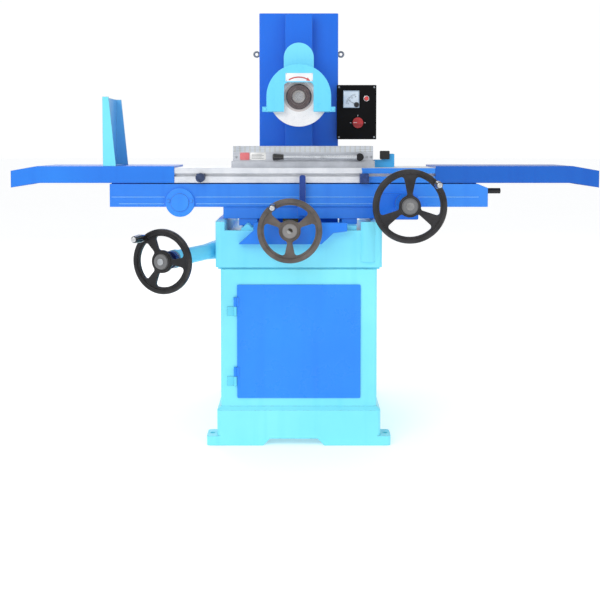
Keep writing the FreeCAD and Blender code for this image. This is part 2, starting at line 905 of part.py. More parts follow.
def saddle():
    beam = box(-saddle_half, saddle_half, saddle_front, saddle_back, saddle_bottom, saddle_top)
    beam = rounded(beam, 3.0, V(1, 0, 0), lambda p: p.z < saddle_bottom + 1)
    corner = prism_xz(
        [
            (saddle_half - saddle_chamfer_x, saddle_top + 20),
            (saddle_half - saddle_chamfer_x, saddle_top),
            (saddle_half, saddle_top - saddle_chamfer_z),
            (saddle_half + 1, saddle_top - saddle_chamfer_z),
            (saddle_half + 1, saddle_top + 20),
        ],
        saddle_front - 1,
        saddle_back + 1,
    )
    block = box(
        -saddle_block_half,
        saddle_block_half,
        saddle_front + saddle_block_inset,
        saddle_back - saddle_block_inset,
        saddle_block_bottom,
        saddle_bottom + 1,
    )
    pad_front = saddle_front + saddle_block_inset + 3
    pad_back = saddle_back - saddle_block_inset
    vee_pad = box(-way_x - 30, -way_x + 30, pad_front, pad_back, rail_top + 3, saddle_block_bottom + 1)
    flat_pad = box(
        way_x - 25, way_x + 25, pad_front, pad_back, flat_top + oil_film, saddle_block_bottom + 1
    )
    vee_rail = prism_yz(
        table_vee_points(0), -saddle_half, saddle_half
    )
    flat_rail = box(
        -saddle_half,
        saddle_half,
        table_flat_y - table_way_half,
        table_flat_y + table_way_half,
        saddle_top - 1,
        saddle_top + table_way_height - 3,
    )
    gear_housing = box(
        pinion_x - 46,
        pinion_x + 46,
        chuck_y - 55,
        chuck_y + 55,
        pinion_z - 40,
        saddle_bottom + 1,
    )
    cover_boss = ycyl(cover_x, cover_z, cover_radius - 3, saddle_front, saddle_front + 70)
    body = fuse(beam, block, vee_pad, flat_pad, vee_rail, flat_rail, gear_housing, cover_boss)
    groove = prism_xz(vee_points(-way_x, rail_top, oil_film), saddle_front - 1, saddle_back + 1)
    trough = box(
        -saddle_half - 1,
        saddle_half + 1,
        chuck_y - trough_width / 2,
        chuck_y + trough_width / 2,
        trough_floor,
        saddle_top + 1,
    )
    gear_pocket = ycyl(
        pinion_x, pinion_z, pinion_radius + pinion_module + 3.5, chuck_y - 22, chuck_y + 22
    )
    shaft_bore = ycyl(
        pinion_x, pinion_z, pinion_shaft_radius + running_fit, saddle_front - 1, chuck_y - 20
    )
    tail_bore = ycyl(pinion_x, pinion_z, pinion_tail_radius + running_fit, chuck_y + 20, chuck_y + 64)
    lever_bore = ycyl(
        lever_pivot_x, lever_pivot_z, lever_pin_radius + running_fit, saddle_front - 1, saddle_front + 32
    )
    buffer_bore = xcyl(buffer_y, buffer_z, buffer_pin_radius + seat_fit, saddle_half - 20, saddle_half + 1)
    body = cut(body, corner, groove, trough, gear_pocket, shaft_bore, tail_bore, lever_bore, buffer_bore)
    return body.removeSplitter()


def table_vee_points(offset):
    """Section in YZ of the vee way between saddle and table, grown by an offset."""
    grow = offset / math.cos(math.radians(45)) - offset
    flat_half = table_way_half - table_way_height
    return [
        (table_vee_y - table_way_half - offset - grow, saddle_vee_base - offset),
        (table_vee_y - flat_half - grow, saddle_vee_base + table_way_height + offset),
        (table_vee_y + flat_half + grow, saddle_vee_base + table_way_height + offset),
        (table_vee_y + table_way_half + offset + grow, saddle_vee_base - offset),
    ]


buffer_y = saddle_front + 40.0
buffer_z = saddle_top - 24.0
buffer_radius = 9.0
buffer_pin_radius = 5.0
buffer_length = 48.0


def end_buffer():
    """Rubber buffer screwed into the saddle's right end."""
    pin = xcyl(buffer_y, buffer_z, buffer_pin_radius, saddle_half - 18, saddle_half + 1)
    body = xcyl(buffer_y, buffer_z, buffer_radius, saddle_half, saddle_half + buffer_length)
    far_end = saddle_half + buffer_length - 0.1
    body = body.makeFillet(2.0, [e for e in body.Edges if e.BoundBox.XMin > far_end])
    return fuse(body, pin)


def bore_cover():
    """Round cover over the saddle's spare pinion bore, held by two bolts."""
    front = saddle_front - 8
    disc = ycyl(cover_x, cover_z, cover_radius, front, saddle_front)
    disc = disc.makeFillet(2.0, [e for e in disc.Edges if e.BoundBox.YMax < front + 0.1])
    raised = ycyl(cover_x, cover_z, cover_radius - 18, front - 3, front + 1)
    heads = []
    for side in (-1, 1):
        x = cover_x + side * (cover_radius - 10)
        heads.append(ycyl(x, cover_z + 6, 5.5, front - 4, front + 1))
    return fuse(disc, raised, *heads)


bearing_block_front = saddle_front - 55.0


def pinion_bearing_block():
    left = pinion_x - 92
    right = pinion_x + 42
    bottom = saddle_block_bottom
    block = prism_xz(
        [
            (left, bottom),
            (right, bottom),
            (right, saddle_top - 40),
            (right - 18, saddle_top - 30),
            (left + 20, saddle_top - 30),
            (left, saddle_top - 52),
        ],
        bearing_block_front + 12,
        saddle_front,
    )
    block = rounded(block, 5.0, V(0, 1, 0))
    boss = ycyl(pinion_x, pinion_z, 34.0, bearing_block_front, bearing_block_front + 13)
    bore = ycyl(
        pinion_x, pinion_z, pinion_shaft_radius + running_fit, bearing_block_front - 1, saddle_front + 1
    )
    return fuse(block, boss).cut(bore)


def table_pinion_shaft():
    front = table_wheel_y - 12
    half_face = pinion_face / 2
    gear_front = chuck_y - half_face
    gear_back = chuck_y + half_face
    shaft = ycyl(pinion_x, pinion_z, pinion_shaft_radius, front, gear_front + 1)
    gear = spur_gear(pinion_module, pinion_teeth, pinion_face)
    gear.translate(V(pinion_x, gear_front, pinion_z))
    tail = ycyl(pinion_x, pinion_z, pinion_tail_radius, gear_back - 1, chuck_y + 62)
    collar = ycyl(
        pinion_x, pinion_z, 18.0, bearing_block_front - 8, bearing_block_front - gap
    )
    return fuse(shaft, gear, tail, collar)


# ---- reversing lever ----
lever_pivot_x = 12.0
lever_pivot_z = 747.0
lever_pin_radius = 6.0
lever_bar_width = 20.0
lever_tip_z = tslot_z + 1.0
lever_gap = 14.0  # between the saddle's front face and the lever bar


def reversing_lever():
    back = saddle_front - gap
    hub = box(
        lever_pivot_x - 17,
        lever_pivot_x + 17,
        back - 25,
        back - 2,
        lever_pivot_z - 14,
        lever_pivot_z + 14,
    )
    hub = rounded(hub, 4.0, V(0, 1, 0))
    washer = ycyl(lever_pivot_x, lever_pivot_z, 12.0, back - 3, back)
    bar_back = back - lever_gap
    bar = box(
        lever_pivot_x - lever_bar_width / 2,
        lever_pivot_x + lever_bar_width / 2,
        bar_back - 9,
        bar_back,
        lever_pivot_z,
        lever_tip_z,
    )
    bar = rounded(bar, 8.0, V(0, 1, 0), lambda p: p.z > lever_tip_z - 1)
    pin = ycyl(lever_pivot_x, lever_pivot_z, lever_pin_radius, back - 5, saddle_front + 30)
    return fuse(hub, washer, bar, pin)


# ---- table ----
table_half = table_length / 2
table_left = table_centre - table_half
table_right = table_centre + table_half
table_back = table_front + table_width
rack_start = pinion_x - table_travel_right - 18
rack_end = pinion_x + table_travel_left + 18


def table():
    body = box(table_left, table_right, table_front, table_back, table_bottom, table_top)
    body = bevelled(body, 1.0, V(1, 0, 0))
    mouth_half = tslot_mouth / 2
    inner_half = tslot_inner / 2
    mouth = box(
        table_left - 1,
        table_right + 1,
        table_front - 1,
        table_front + tslot_mouth_depth,
        tslot_z - mouth_half,
        tslot_z + mouth_half,
    )
    inner = box(
        table_left - 1,
        table_right + 1,
        table_front + tslot_mouth_depth,
        table_front + tslot_mouth_depth + tslot_inner_depth,
        tslot_z - inner_half,
        tslot_z + inner_half,
    )
    top_mouth = box(
        table_left - 1, table_right + 1, chuck_slot_y - 7, chuck_slot_y + 7, table_top - 11, table_top + 1
    )
    top_inner = box(
        table_left - 1, table_right + 1, chuck_slot_y - 12, chuck_slot_y + 12, table_top - 20, table_top - 11
    )
    vee = prism_yz(table_vee_points(oil_film), table_left - 1, table_right + 1)
    flat = box(
        table_left - 1,
        table_right + 1,
        table_flat_y - table_way_half - oil_film,
        table_flat_y + table_way_half + oil_film,
        table_bottom - 1,
        saddle_top + table_way_height - 3 + oil_film,
    )
    return cut(body, mouth, inner, top_mouth, top_inner, vee, flat)


def table_rack():
    """Rack under the table, in mesh with the pinion: a gap stands over the pinion at rest."""
    pitch = math.pi * pinion_module
    slope = math.tan(math.radians(20))
    root_z = rack_pitch_z + 1.25 * pinion_module
    tip_z = rack_pitch_z - pinion_module
    tooth_half = (pitch / 2 - gear_backlash) / 2
    root_half = tooth_half + slope * (root_z - rack_pitch_z)
    tip_half = tooth_half - slope * (rack_pitch_z - tip_z)
    outline = [(rack_end, table_bottom), (rack_start, table_bottom), (rack_start, root_z)]
    first = math.ceil((rack_start + root_half - pinion_x) / pitch - 0.5)
    last = math.floor((rack_end - root_half - pinion_x) / pitch - 0.5)
    for index in range(first, last + 1):
        middle = pinion_x + (index + 0.5) * pitch
        outline.append((middle - root_half, root_z))
        outline.append((middle - tip_half, tip_z))
        outline.append((middle + tip_half, tip_z))
        outline.append((middle + root_half, root_z))
    outline.append((rack_end, root_z))
    return prism_xz(outline, chuck_y - rack_width / 2, chuck_y + rack_width / 2)


def wing(side):
    """Sheet-metal way cover at one end of the table; its outer end droops."""
    inner_x = table_half
    outer_x = table_half + wing_length
    bend_x = outer_x - droop_length
    top = table_top + wing_rise
    bottom = table_bottom
    outline = [
        (inner_x, top),
        (bend_x, top),
        (outer_x, top - droop),
        (outer_x, bottom - droop),
        (bend_x, bottom),
        (inner_x, bottom),
    ]
    hollow = [
        (inner_x + sheet, top - sheet),
        (bend_x, top - sheet),
        (outer_x - sheet, top - droop - sheet),
        (outer_x - sheet, bottom - droop - 20),
        (inner_x + sheet, bottom - droop - 20),
    ]
    front = table_front - wing_lap
    back = table_back + wing_lap
    skin = prism_xz(outline, front, back)
    skin = rounded(skin, 2.0, V(1, 0, 0), lambda p: p.z > top - 1)
    skin = cut(skin, prism_xz(hollow, front + sheet, back - sheet))
    end_notch = box(inner_x - 1, inner_x + sheet + 1, front + sheet, back - sheet, 0, table_bottom + 16)
    skin = skin.cut(end_notch)
    if side < 0:
        skin = mirrored_x(skin)
    skin.translate(V(table_centre, 0, 0))
    return skin


guard_x = -637.0
guard_height = 225.0


def splash_guard():
    foot = table_top + wing_rise
    top = foot + guard_height
    y0 = table_front
    y1 = table_back - 10
    panel = box(guard_x, guard_x + sheet, y0, y1, foot, top)
    flange = prism_xz(
        [(guard_x, foot), (guard_x + 42, foot), (guard_x + 20, top), (guard_x, top)], y0, y0 + sheet
    )
    rear = flange.copy()
    rear.translate(V(0, y1 - y0 - sheet, 0))
    foot_flange = box(guard_x, guard_x + 30, y0, y1, foot, foot + sheet)
    return fuse(panel, flange, rear, foot_flange)


# ---- chuck ----
chuck_left = chuck_centre - chuck_length / 2
chuck_right = chuck_centre + chuck_length / 2
chuck_front = chuck_y - chuck_width / 2
chuck_back = chuck_y + chuck_width / 2
chuck_body_bottom = table_top + chuck_foot_height
chuck_body_top = chuck_body_bottom + chuck_body_height
chuck_top = chuck_body_top + chuck_plate_height
lever_hub_radius = 12.5
lever_standoff = 18.0  # lever axis in front of the chuck's face
lever_shaft_radius = 7.0


def magnetic_chuck():
    foot = box(
        chuck_left - 5,
        chuck_right + 5,
        chuck_front - chuck_foot_lip,
        chuck_back + chuck_foot_lip,
        table_top,
        chuck_body_bottom,
    )
    foot = bevelled(foot, 2.0, V(1, 0, 0), lambda p: p.z > chuck_body_bottom - 1)
    body = box(chuck_left, chuck_right, chuck_front, chuck_back, table_top + 1, chuck_body_top)
    body = rounded(body, 2.0, V(0, 0, 1))
    bore = ycyl(lever_x, lever_z, lever_shaft_radius + running_fit, chuck_front - 1, chuck_front + 40)
    return fuse(foot, body).cut(bore)


def chuck_pole_plate():
    plate = box(chuck_left, chuck_right, chuck_front, chuck_back, chuck_body_top, chuck_top)
    plate = bevelled(plate, 1.0, V(1, 0, 0), lambda p: p.z > chuck_top - 1)
    return plate


def chuck_lever():
    back = chuck_front - gap
    hub_front = back - lever_standoff - 9
    hub = ycyl(lever_x, lever_z, lever_hub_radius, hub_front, back)
    hub = hub.makeFillet(2.0, [e for e in hub.Edges if e.BoundBox.YMax < hub_front + 0.1])
    shaft = ycyl(lever_x, lever_z, lever_shaft_radius, back - 1, chuck_front + 38)
    end = lever_x - lever_length
    neck = end + lever_knob_length - 10
    bar = Part.makeCone(5.5, 8.0, lever_x - neck, V(neck, back - lever_standoff, lever_z), V(1, 0, 0))
    tang = xcyl(back - lever_standoff, lever_z, 4.0, end + 12, neck + 1)
    return fuse(hub, shaft, bar, tang)


def chuck_lever_knob():
    back = chuck_front - gap
    y = back - lever_standoff
    end = lever_x - lever_length
    length = lever_knob_length - 10
    cone = Part.makeCone(12.4, 8.5, length, V(end, y, lever_z), V(1, 0, 0))
    cone = cone.makeFillet(5.0, [e for e in cone.Edges if e.BoundBox.XMax < end + 0.1])
    return cone.cut(xcyl(y, lever_z, 4.0 + seat_fit, end + 12, end + length + 1))


def trip_dog(centre, is_round):
    """Dog clamped in the table's front T-slot; its nut fills the slot with a little play."""
    play = 0.3
    mouth_half = tslot_mouth / 2 - play
    inner_half = tslot_inner / 2 - play
    face = table_front - gap
    deep = table_front + tslot_mouth_depth
    nut = box(
        centre - 14,
        centre + 14,
        deep + play,
        deep + tslot_inner_depth - play,
        tslot_z - inner_half,
        tslot_z + inner_half,
    )
    neck = box(centre - 14, centre + 14, face - 1, deep + 1, tslot_z - mouth_half, tslot_z + mouth_half)
    if is_round:
        head = ycyl(centre, tslot_z - 8, 15.0, face - 26, face)
        head = head.makeFillet(3.0, [e for e in head.Edges if e.BoundBox.YMax < face - 25.9])
    else:
        head = box(centre - 14.5, centre + 14.5, face - 28, face, tslot_z - 26, tslot_z - 3 + 8)
        head = rounded(head, 3.0, V(0, 1, 0))
    return fuse(nut, neck, head)


left_dog_x = -319.0
right_dog_x = 212.0


def work_stop():
    """Painted bracket standing on the table beside the chuck."""
    points = [
        (chuck_right + 7, table_top),
        (chuck_right + 75, table_top),
        (chuck_right + 75, table_top + 45),
        (chuck_right + 35, table_top + 45),
        (chuck_right + 35, table_top + 25),
        (chuck_right + 7, table_top + 25),
    ]
    bracket = prism_xz(points, stop_front, stop_front + 45)
    return rounded(bracket, 3.0, V(0, 1, 0))


stop_front = chuck_y - 25.0


def stop_pad():
    x0 = chuck_right + 26
    return rounded(
        box(x0, x0 + 32, stop_front - 12, stop_front, table_top + 27, table_top + 55),
        3.0,
        V(0, 1, 0),
    )


# ---- wheel head ----
lip_back = column_front - 3.0


def arch_face(half, bottom, inset, y):
    """Arch outline in XZ: straight sides and a round top about the motor's axis."""
    radius = half - inset
    low = bottom + inset
    a = V(-radius, y, low)
    b = V(radius, y, low)
    c = V(radius, y, motor_z)
    top = V(0, y, motor_z + radius)
    d = V(-radius, y, motor_z)
    edges = [Part.makeLine(a, b), Part.makeLine(b, c), Part.Arc(c, top, d).toShape(), Part.makeLine(d, a)]
    return Part.Face(Part.Wire(edges))


def arch_prism(half, bottom, inset, y0, y1):
    return arch_face(half, bottom, inset, y0).extrude(V(0, y1 - y0, 0))


def wheel_head():
    arch = arch_prism(head_half, head_bottom, 0, head_front, flange_front - 4)
    slide = box(-slide_half, slide_half, flange_front - 28, lip_back, head_bottom, slide_top)
    slide = rounded(slide, 8.0, V(0, 1, 0))
    way_slot = box(
        -way_flange_half - oil_film,
        way_flange_half + oil_film,
        flange_front - oil_film,
        flange_back + oil_film,
        head_bottom - 1,
        slide_top + 1,
    )
    stem_slot = box(
        -way_stem_half - 0.5, way_stem_half + 0.5, flange_back, lip_back + 1, head_bottom - 1, slide_top + 1
    )
    pocket = arch_prism(head_half, head_bottom, head_wall, head_front - 1, head_front + belt_pocket_depth)
    spindle_bore = ycyl(0, spindle_z, bearing_outer + seat_fit, head_front, flange_front - 14)
    motor_bore = ycyl(
        0, motor_z, motor_radius + seat_fit, head_front + belt_pocket_depth + 4, flange_front
    )
    motor_hole = ycyl(0, motor_z, motor_shaft_radius + 3, head_front, head_front + belt_pocket_depth + 5)
    body = fuse(arch, slide)
    return cut(body, way_slot, stem_slot, pocket, spindle_bore, motor_bore, motor_hole)


def belt_cover():
    back = head_front
    front = back - cover_thickness
    plate = arch_prism(head_half, head_bottom, 0, front, back)
    plate = plate.makeFillet(2.5, [e for e in plate.Edges if e.BoundBox.YMax < front + 0.01])
    return plate.cut(ycyl(0, spindle_z, spindle_radius + 5, front - 1, back + 1))


front_bearing_y = head_front + belt_pocket_depth + 10
rear_bearing_y = flange_front - 14 - bearing_width


def spindle_bearings():
    rings = []
    for y in (front_bearing_y, rear_bearing_y):
        ring = ycyl(0, spindle_z, bearing_outer, y, y + bearing_width)
        bore = ycyl(0, spindle_z, spindle_radius + running_fit, y - 1, y + bearing_width + 1)
        rings.append(ring.cut(bore))
    return Part.makeCompound(rings)


hub_back = wheel_y + wheel_thickness / 2 + 12
hub_front = wheel_y - wheel_thickness / 2 - 7
nose_end = hub_front - 9


def spindle_shaft():
    """Spindle with its pulley turned on it, and a nose for the wheel hub."""
    body = ycyl(0, spindle_z, spindle_radius, head_front + belt_pocket_depth, rear_bearing_y + bearing_width)
    collar = ycyl(
        0, spindle_z, spindle_radius + 5, head_front + belt_pocket_depth + 1, front_bearing_y - gap
    )
    pulley_back = head_front + belt_pocket_depth - 1.5
    pulley = ycyl(0, spindle_z, spindle_pulley_radius, pulley_back - belt_width - 2, pulley_back)
    link = ycyl(0, spindle_z, spindle_radius, pulley_back - 1, head_front + belt_pocket_depth + 1)
    neck = ycyl(0, spindle_z, spindle_radius, hub_back, pulley_back - belt_width)
    nose = ycyl(0, spindle_z, spindle_nose_radius, nose_end, hub_back + 1)
    return fuse(body, collar, pulley, link, neck, nose)


def wheel_flanges():
    """Inner and outer hub flanges that clamp the wheel."""
    bore = ycyl(0, spindle_z, spindle_nose_radius + seat_fit, hub_front - 5, hub_back + 1)
    back_face = wheel_y + wheel_thickness / 2
    front_face = wheel_y - wheel_thickness / 2
    inner = ycyl(0, spindle_z, flange_radius, back_face, hub_back)
    outer = ycyl(0, spindle_z, flange_radius, hub_front, front_face)
    outer = outer.makeChamfer(3.0, [e for e in outer.Edges if e.BoundBox.YMax < hub_front + 0.01])
    step = ycyl(0, spindle_z, flange_radius - 14, hub_front - 3, hub_front + 1)
    return Part.makeCompound([inner.cut(bore), fuse(outer, step).cut(bore)])


def grinding_wheel():
    wheel = ycyl(
        0, spindle_z, wheel_radius, wheel_y - wheel_thickness / 2, wheel_y + wheel_thickness / 2
    )
    wheel = wheel.makeFillet(1.0, [e for e in wheel.Edges if e.Length > 2 * math.pi * (wheel_radius - 1)])
    return wheel.cut(ycyl(0, spindle_z, spindle_nose_radius + seat_fit, wheel_y - 20, wheel_y + 20))


def wheel_nut():
    front = hub_front - 3
    ring = ycyl(0, spindle_z, 22.0, front - 9, front)
    ring = ring.makeChamfer(2.0, [e for e in ring.Edges if e.BoundBox.YMax < front - 8.9])
    bore = ycyl(0, spindle_z, spindle_nose_radius + seat_fit, front - 10, front + 1)
    wrench_holes = [ycyl(side * 19, spindle_z, 1.8, front - 10, front - 5) for side in (-1, 1)]
    return cut(ring, bore, *wrench_holes)


# ---- motor and belt ----
motor_front = head_front + belt_pocket_depth + 4


def motor_body():
    back = flange_front - 5
    shell = ycyl(0, motor_z, motor_radius, motor_front, back)
    cavity = ycyl(0, motor_z, 27.0, motor_front + 10, back - 10)
    bore = ycyl(0, motor_z, motor_shaft_radius + running_fit, motor_front - 1, back - 4)
    return cut(shell, cavity, bore)


def motor_rotor():
    """Rotor, its shaft and the belt pulley on the shaft's front end."""
    back = flange_front - 5
    shaft = ycyl(0, motor_z, motor_shaft_radius, head_front + 3, back - 5)
    core = ycyl(0, motor_z, 26.0, motor_front + 14, back - 14)
    pulley_back = head_front + belt_pocket_depth - 1.5
    pulley = ycyl(0, motor_z, motor_pulley_radius, pulley_back - belt_width - 2, pulley_back)
    return fuse(shaft, core, pulley)


def belt_outline(extra, y):
    """Closed belt path around both pulleys, at a distance outside them."""
    low = spindle_pulley_radius + extra
    high = motor_pulley_radius + extra
    distance = motor_z - spindle_z
    lean = math.asin((high - low) / distance)
    side = V(math.cos(lean), 0, -math.sin(lean))
    low_right = V(side.x * low, y, spindle_z + side.z * low)
    low_left = V(-low_right.x, y, low_right.z)
    high_right = V(side.x * high, y, motor_z + side.z * high)
    high_left = V(-high_right.x, y, high_right.z)
    edges = [
        Part.makeLine(low_right, high_right),
        Part.Arc(high_right, V(0, y, motor_z + high), high_left).toShape(),
        Part.makeLine(high_left, low_left),
        Part.Arc(low_left, V(0, y, spindle_z - low), low_right).toShape(),
    ]
    return Part.Face(Part.Wire(edges))


def drive_belt():
    back = head_front + belt_pocket_depth - 2.5
    front = back - belt_width
    outer = belt_outline(gap + belt_thickness, front).extrude(V(0, belt_width, 0))
    inner = belt_outline(gap, front - 1).extrude(V(0, belt_width + 2, 0))
    return outer.cut(inner)


# ---- wheel guard ----
guard_back = head_front - cover_thickness
guard_front = guard_back - guard_depth
ear_height = 17.0
ear_half = 122.0


def guard_outline(radius, bottom, y):
    a = V(-radius, y, bottom)
    b = V(radius, y, bottom)
    c = V(radius, y, spindle_z)
    d = V(-radius, y, spindle_z)
    top = V(0, y, spindle_z + radius)
    edges = [Part.makeLine(a, b), Part.makeLine(b, c), Part.Arc(c, top, d).toShape(), Part.makeLine(d, a)]
    return Part.Face(Part.Wire(edges))


def wheel_guard():
    """Back plate, rim and clamp ears of the guard, bolted to the belt cover."""
    shell = guard_outline(guard_radius, guard_bottom, guard_front).extrude(V(0, guard_depth, 0))
    hollow = guard_outline(guard_radius - guard_sheet, guard_bottom - 5, guard_front - 1)
    hollow = hollow.extrude(V(0, guard_depth - guard_sheet + 1, 0))
    ears = []
    for side in (-1, 1):
        x0, x1 = sorted((side * (guard_radius - 1), side * ear_half))
        ear = box(x0, x1, guard_front, guard_front + 14, guard_bottom, guard_bottom + ear_height)
        ears.append(ear)
    shell = shell.cut(hollow)
    shell = fuse(shell, *ears)
    return shell.cut(ycyl(0, spindle_z, spindle_radius + 8, guard_back - 10, guard_back + 1))


def guard_cover():
    """Front plate of the guard with the open mouth, its ears and two bolts."""
    front = guard_front - guard_sheet
    plate = guard_outline(guard_radius, guard_bottom, front).extrude(V(0, guard_sheet, 0))
    plate = plate.makeFillet(2.5, [e for e in plate.Edges if e.BoundBox.YMax < front + 0.01])
    mouth = box(-guard_mouth_half, guard_mouth_half, front - 1, guard_front + 1, 0, guard_mouth_top)
    mouth = rounded(mouth, 14.0, V(0, 1, 0), lambda p: p.z > guard_mouth_top - 1)
    extras = []
    for side in (-1, 1):
        x0, x1 = sorted((side * (guard_radius - 6), side * ear_half))
        ear = box(x0, x1, front, guard_front, guard_bottom, guard_bottom + ear_height)
        extras.append(ear)
        x = side * (ear_half - 8)
        extras.append(ycyl(x, guard_bottom + ear_height / 2, 5.5, front - 4, front + 1))
    return cut(fuse(plate, *extras), mouth)


# ---- control box ----
def control_box():
    back = panel_front + sheet + box_depth
    left = column_width / 2
    shell = box(left, panel_right - 3, panel_front + sheet, back, panel_bottom + 3, panel_top - 3)
    shell = rounded(shell, 4.0, V(0, 1, 0), lambda p: p.x > left + 1)
    inner = box(
        left + sheet,
        panel_right - 3 - sheet,
        panel_front + sheet - 1,
        back - sheet,
        panel_bottom + 3 + sheet,
        panel_top - 3 - sheet,
    )
    return shell.cut(inner)


def control_panel():
    plate = box(panel_left, panel_right, panel_front, panel_front + sheet, panel_bottom, panel_top)
    plate = rounded(plate, 2.0, V(0, 1, 0))
    holes = [
        ycyl(lamp_x, lamp_z, 7.0, panel_front - 1, panel_front + sheet + 1),
        ycyl(switch_x, switch_z, 5.0, panel_front - 1, panel_front + sheet + 1),
        ycyl(ammeter_x, ammeter_z, 20.0, panel_front - 1, panel_front + sheet + 1),
    ]
    return cut(plate, *holes)


def ammeter():
    half = ammeter_width / 2
    face = box(
        ammeter_x - half,
        ammeter_x + half,
        panel_front - 12,
        panel_front,
        ammeter_z - ammeter_height / 2,
        ammeter_z + ammeter_height / 2,
    )
    face = rounded(face, 3.0, V(0, 1, 0))
    barrel = ycyl(ammeter_x, ammeter_z, 20.0 - seat_fit, panel_front - 1, panel_front + 30)
    return fuse(face, barrel)


def pilot_lamp():
    bezel = ycyl(lamp_x, lamp_z, 10.0, panel_front - 4, panel_front)
    lens = ycyl(lamp_x, lamp_z, 7.5, panel_front - 9, panel_front - 3)
    lens = lens.makeFillet(3.0, [e for e in lens.Edges if e.BoundBox.YMax < panel_front - 8.9])
    barrel = ycyl(lamp_x, lamp_z, 7.0 - seat_fit, panel_front - 1, panel_front + 26)
    return fuse(bezel, lens, barrel)


def selector_switch():
    front = panel_front - gap
    disc = ycyl(switch_x, switch_z, 19.0, front - 8, front)
    bar = box(switch_x - 5, switch_x + 5, front - 24, front - 7, switch_z - 18, switch_z + 18)
    bar = rounded(bar, 3.0, V(0, 1, 0))
    spindle = ycyl(switch_x, switch_z, 5.0 - running_fit, front - 1, panel_front + 24)
    knob = fuse(disc, bar, spindle)
    knob.rotate(V(switch_x, 0, switch_z), V(0, 1, 0), 90)
    return knob


# ---- build every piece ----
table_wheel_shape = wheel_with_pin(
    table_wheel_radius, 20.0, pinion_shaft_radius + seat_fit, -90.0, table_wheel_grip_angle
)
cross_wheel_shape = wheel_with_pin(
    cross_wheel_radius, 18.0, cross_screw_radius + seat_fit, 90.0, cross_grip_angle
)
elevation_wheel_shape = wheel_with_pin(
    elevation_wheel_radius, 18.0, shaft_radius + seat_fit, 180.0, elevation_grip_angle
)
table_grip = (table_wheel_radius, table_wheel_grip_angle)
cross_grip = (cross_wheel_radius, cross_grip_angle)
elevation_grip = (elevation_wheel_radius, elevation_grip_angle)

pieces = {
    "base_cabinet": base_cabinet(),
    "cabinet_door": cabinet_door(),
    "door_hinges": door_hinges(),
    "bed": bed(),
    "column": column(),
    "column_rear_cover": column_rear_cover(),
    "eye_bolts": eye_bolts(),
    "bearing_bracket": bearing_bracket(),
    "elevation_tube": elevation_tube(),
    "elevation_shaft": elevation_shaft(),
    "elevation_dial": elevation_dial(),
    "elevation_handwheel": elevation_place(elevation_wheel_shape),
    "elevation_grip": elevation_place(grip_sleeve(*elevation_grip)),
    "bevel_pinion": bevel_pinion(),
    "bevel_gear": bevel_wheel(),
    "elevating_screw": elevating_screw(),
    "elevating_nut": elevating_nut(),
    "cross_feed_bracket": cross_feed_bracket(),
    "cross_feed_screw": cross_feed_screw(),
    "cross_nut": cross_nut(),
    "cross_handwheel": placed_wheel(cross_wheel_shape, cross_x, cross_wheel_y, cross_z),
    "cross_grip": placed_wheel(grip_sleeve(*cross_grip), cross_x, cross_wheel_y, cross_z),
    "saddle": saddle(),
    "bore_cover": bore_cover(),
    "pinion_bearing_block": pinion_bearing_block(),
    "end_buffer": end_buffer(),
    "reversing_lever": reversing_lever(),
    "table_pinion_shaft": table_pinion_shaft(),
    "table_handwheel": placed_wheel(table_wheel_shape, pinion_x, table_wheel_y, pinion_z),
    "table_grip": placed_wheel(grip_sleeve(*table_grip), pinion_x, table_wheel_y, pinion_z),
    "table": table(),
    "table_rack": table_rack(),
    "left_wing": wing(-1),
    "right_wing": wing(1),
    "splash_guard": splash_guard(),
    "magnetic_chuck": magnetic_chuck(),
    "chuck_pole_plate": chuck_pole_plate(),
    "chuck_lever": chuck_lever(),
    "chuck_lever_knob": chuck_lever_knob(),
    "left_trip_dog": trip_dog(left_dog_x, True),
    "right_trip_dog": trip_dog(right_dog_x, False),
    "work_stop": work_stop(),
    "stop_pad": stop_pad(),
    "wheel_head": wheel_head(),
    "belt_cover": belt_cover(),
    "spindle_bearings": spindle_bearings(),
    "spindle_shaft": spindle_shaft(),
    "wheel_flanges": wheel_flanges(),
    "grinding_wheel": grinding_wheel(),
    "wheel_nut": wheel_nut(),
    "motor_body": motor_body(),
    "motor_rotor": motor_rotor(),
    "drive_belt": drive_belt(),
    "wheel_guard": wheel_guard(),
    "guard_cover": guard_cover(),
    "control_box": control_box(),
    "control_panel": control_panel(),
    "ammeter": ammeter(),
    "pilot_lamp": pilot_lamp(),
    "selector_switch": selector_switch(),
}

os.makedirs("parts", exist_ok=True)
for name, shape in pieces.items():
    shape.exportStep(f"parts/{name}.step")
    print(name, len(shape.Solids), round(shape.Volume), shape.isValid())
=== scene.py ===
import math

import bmesh
import bpy
from mathutils import Euler, Matrix, Vector


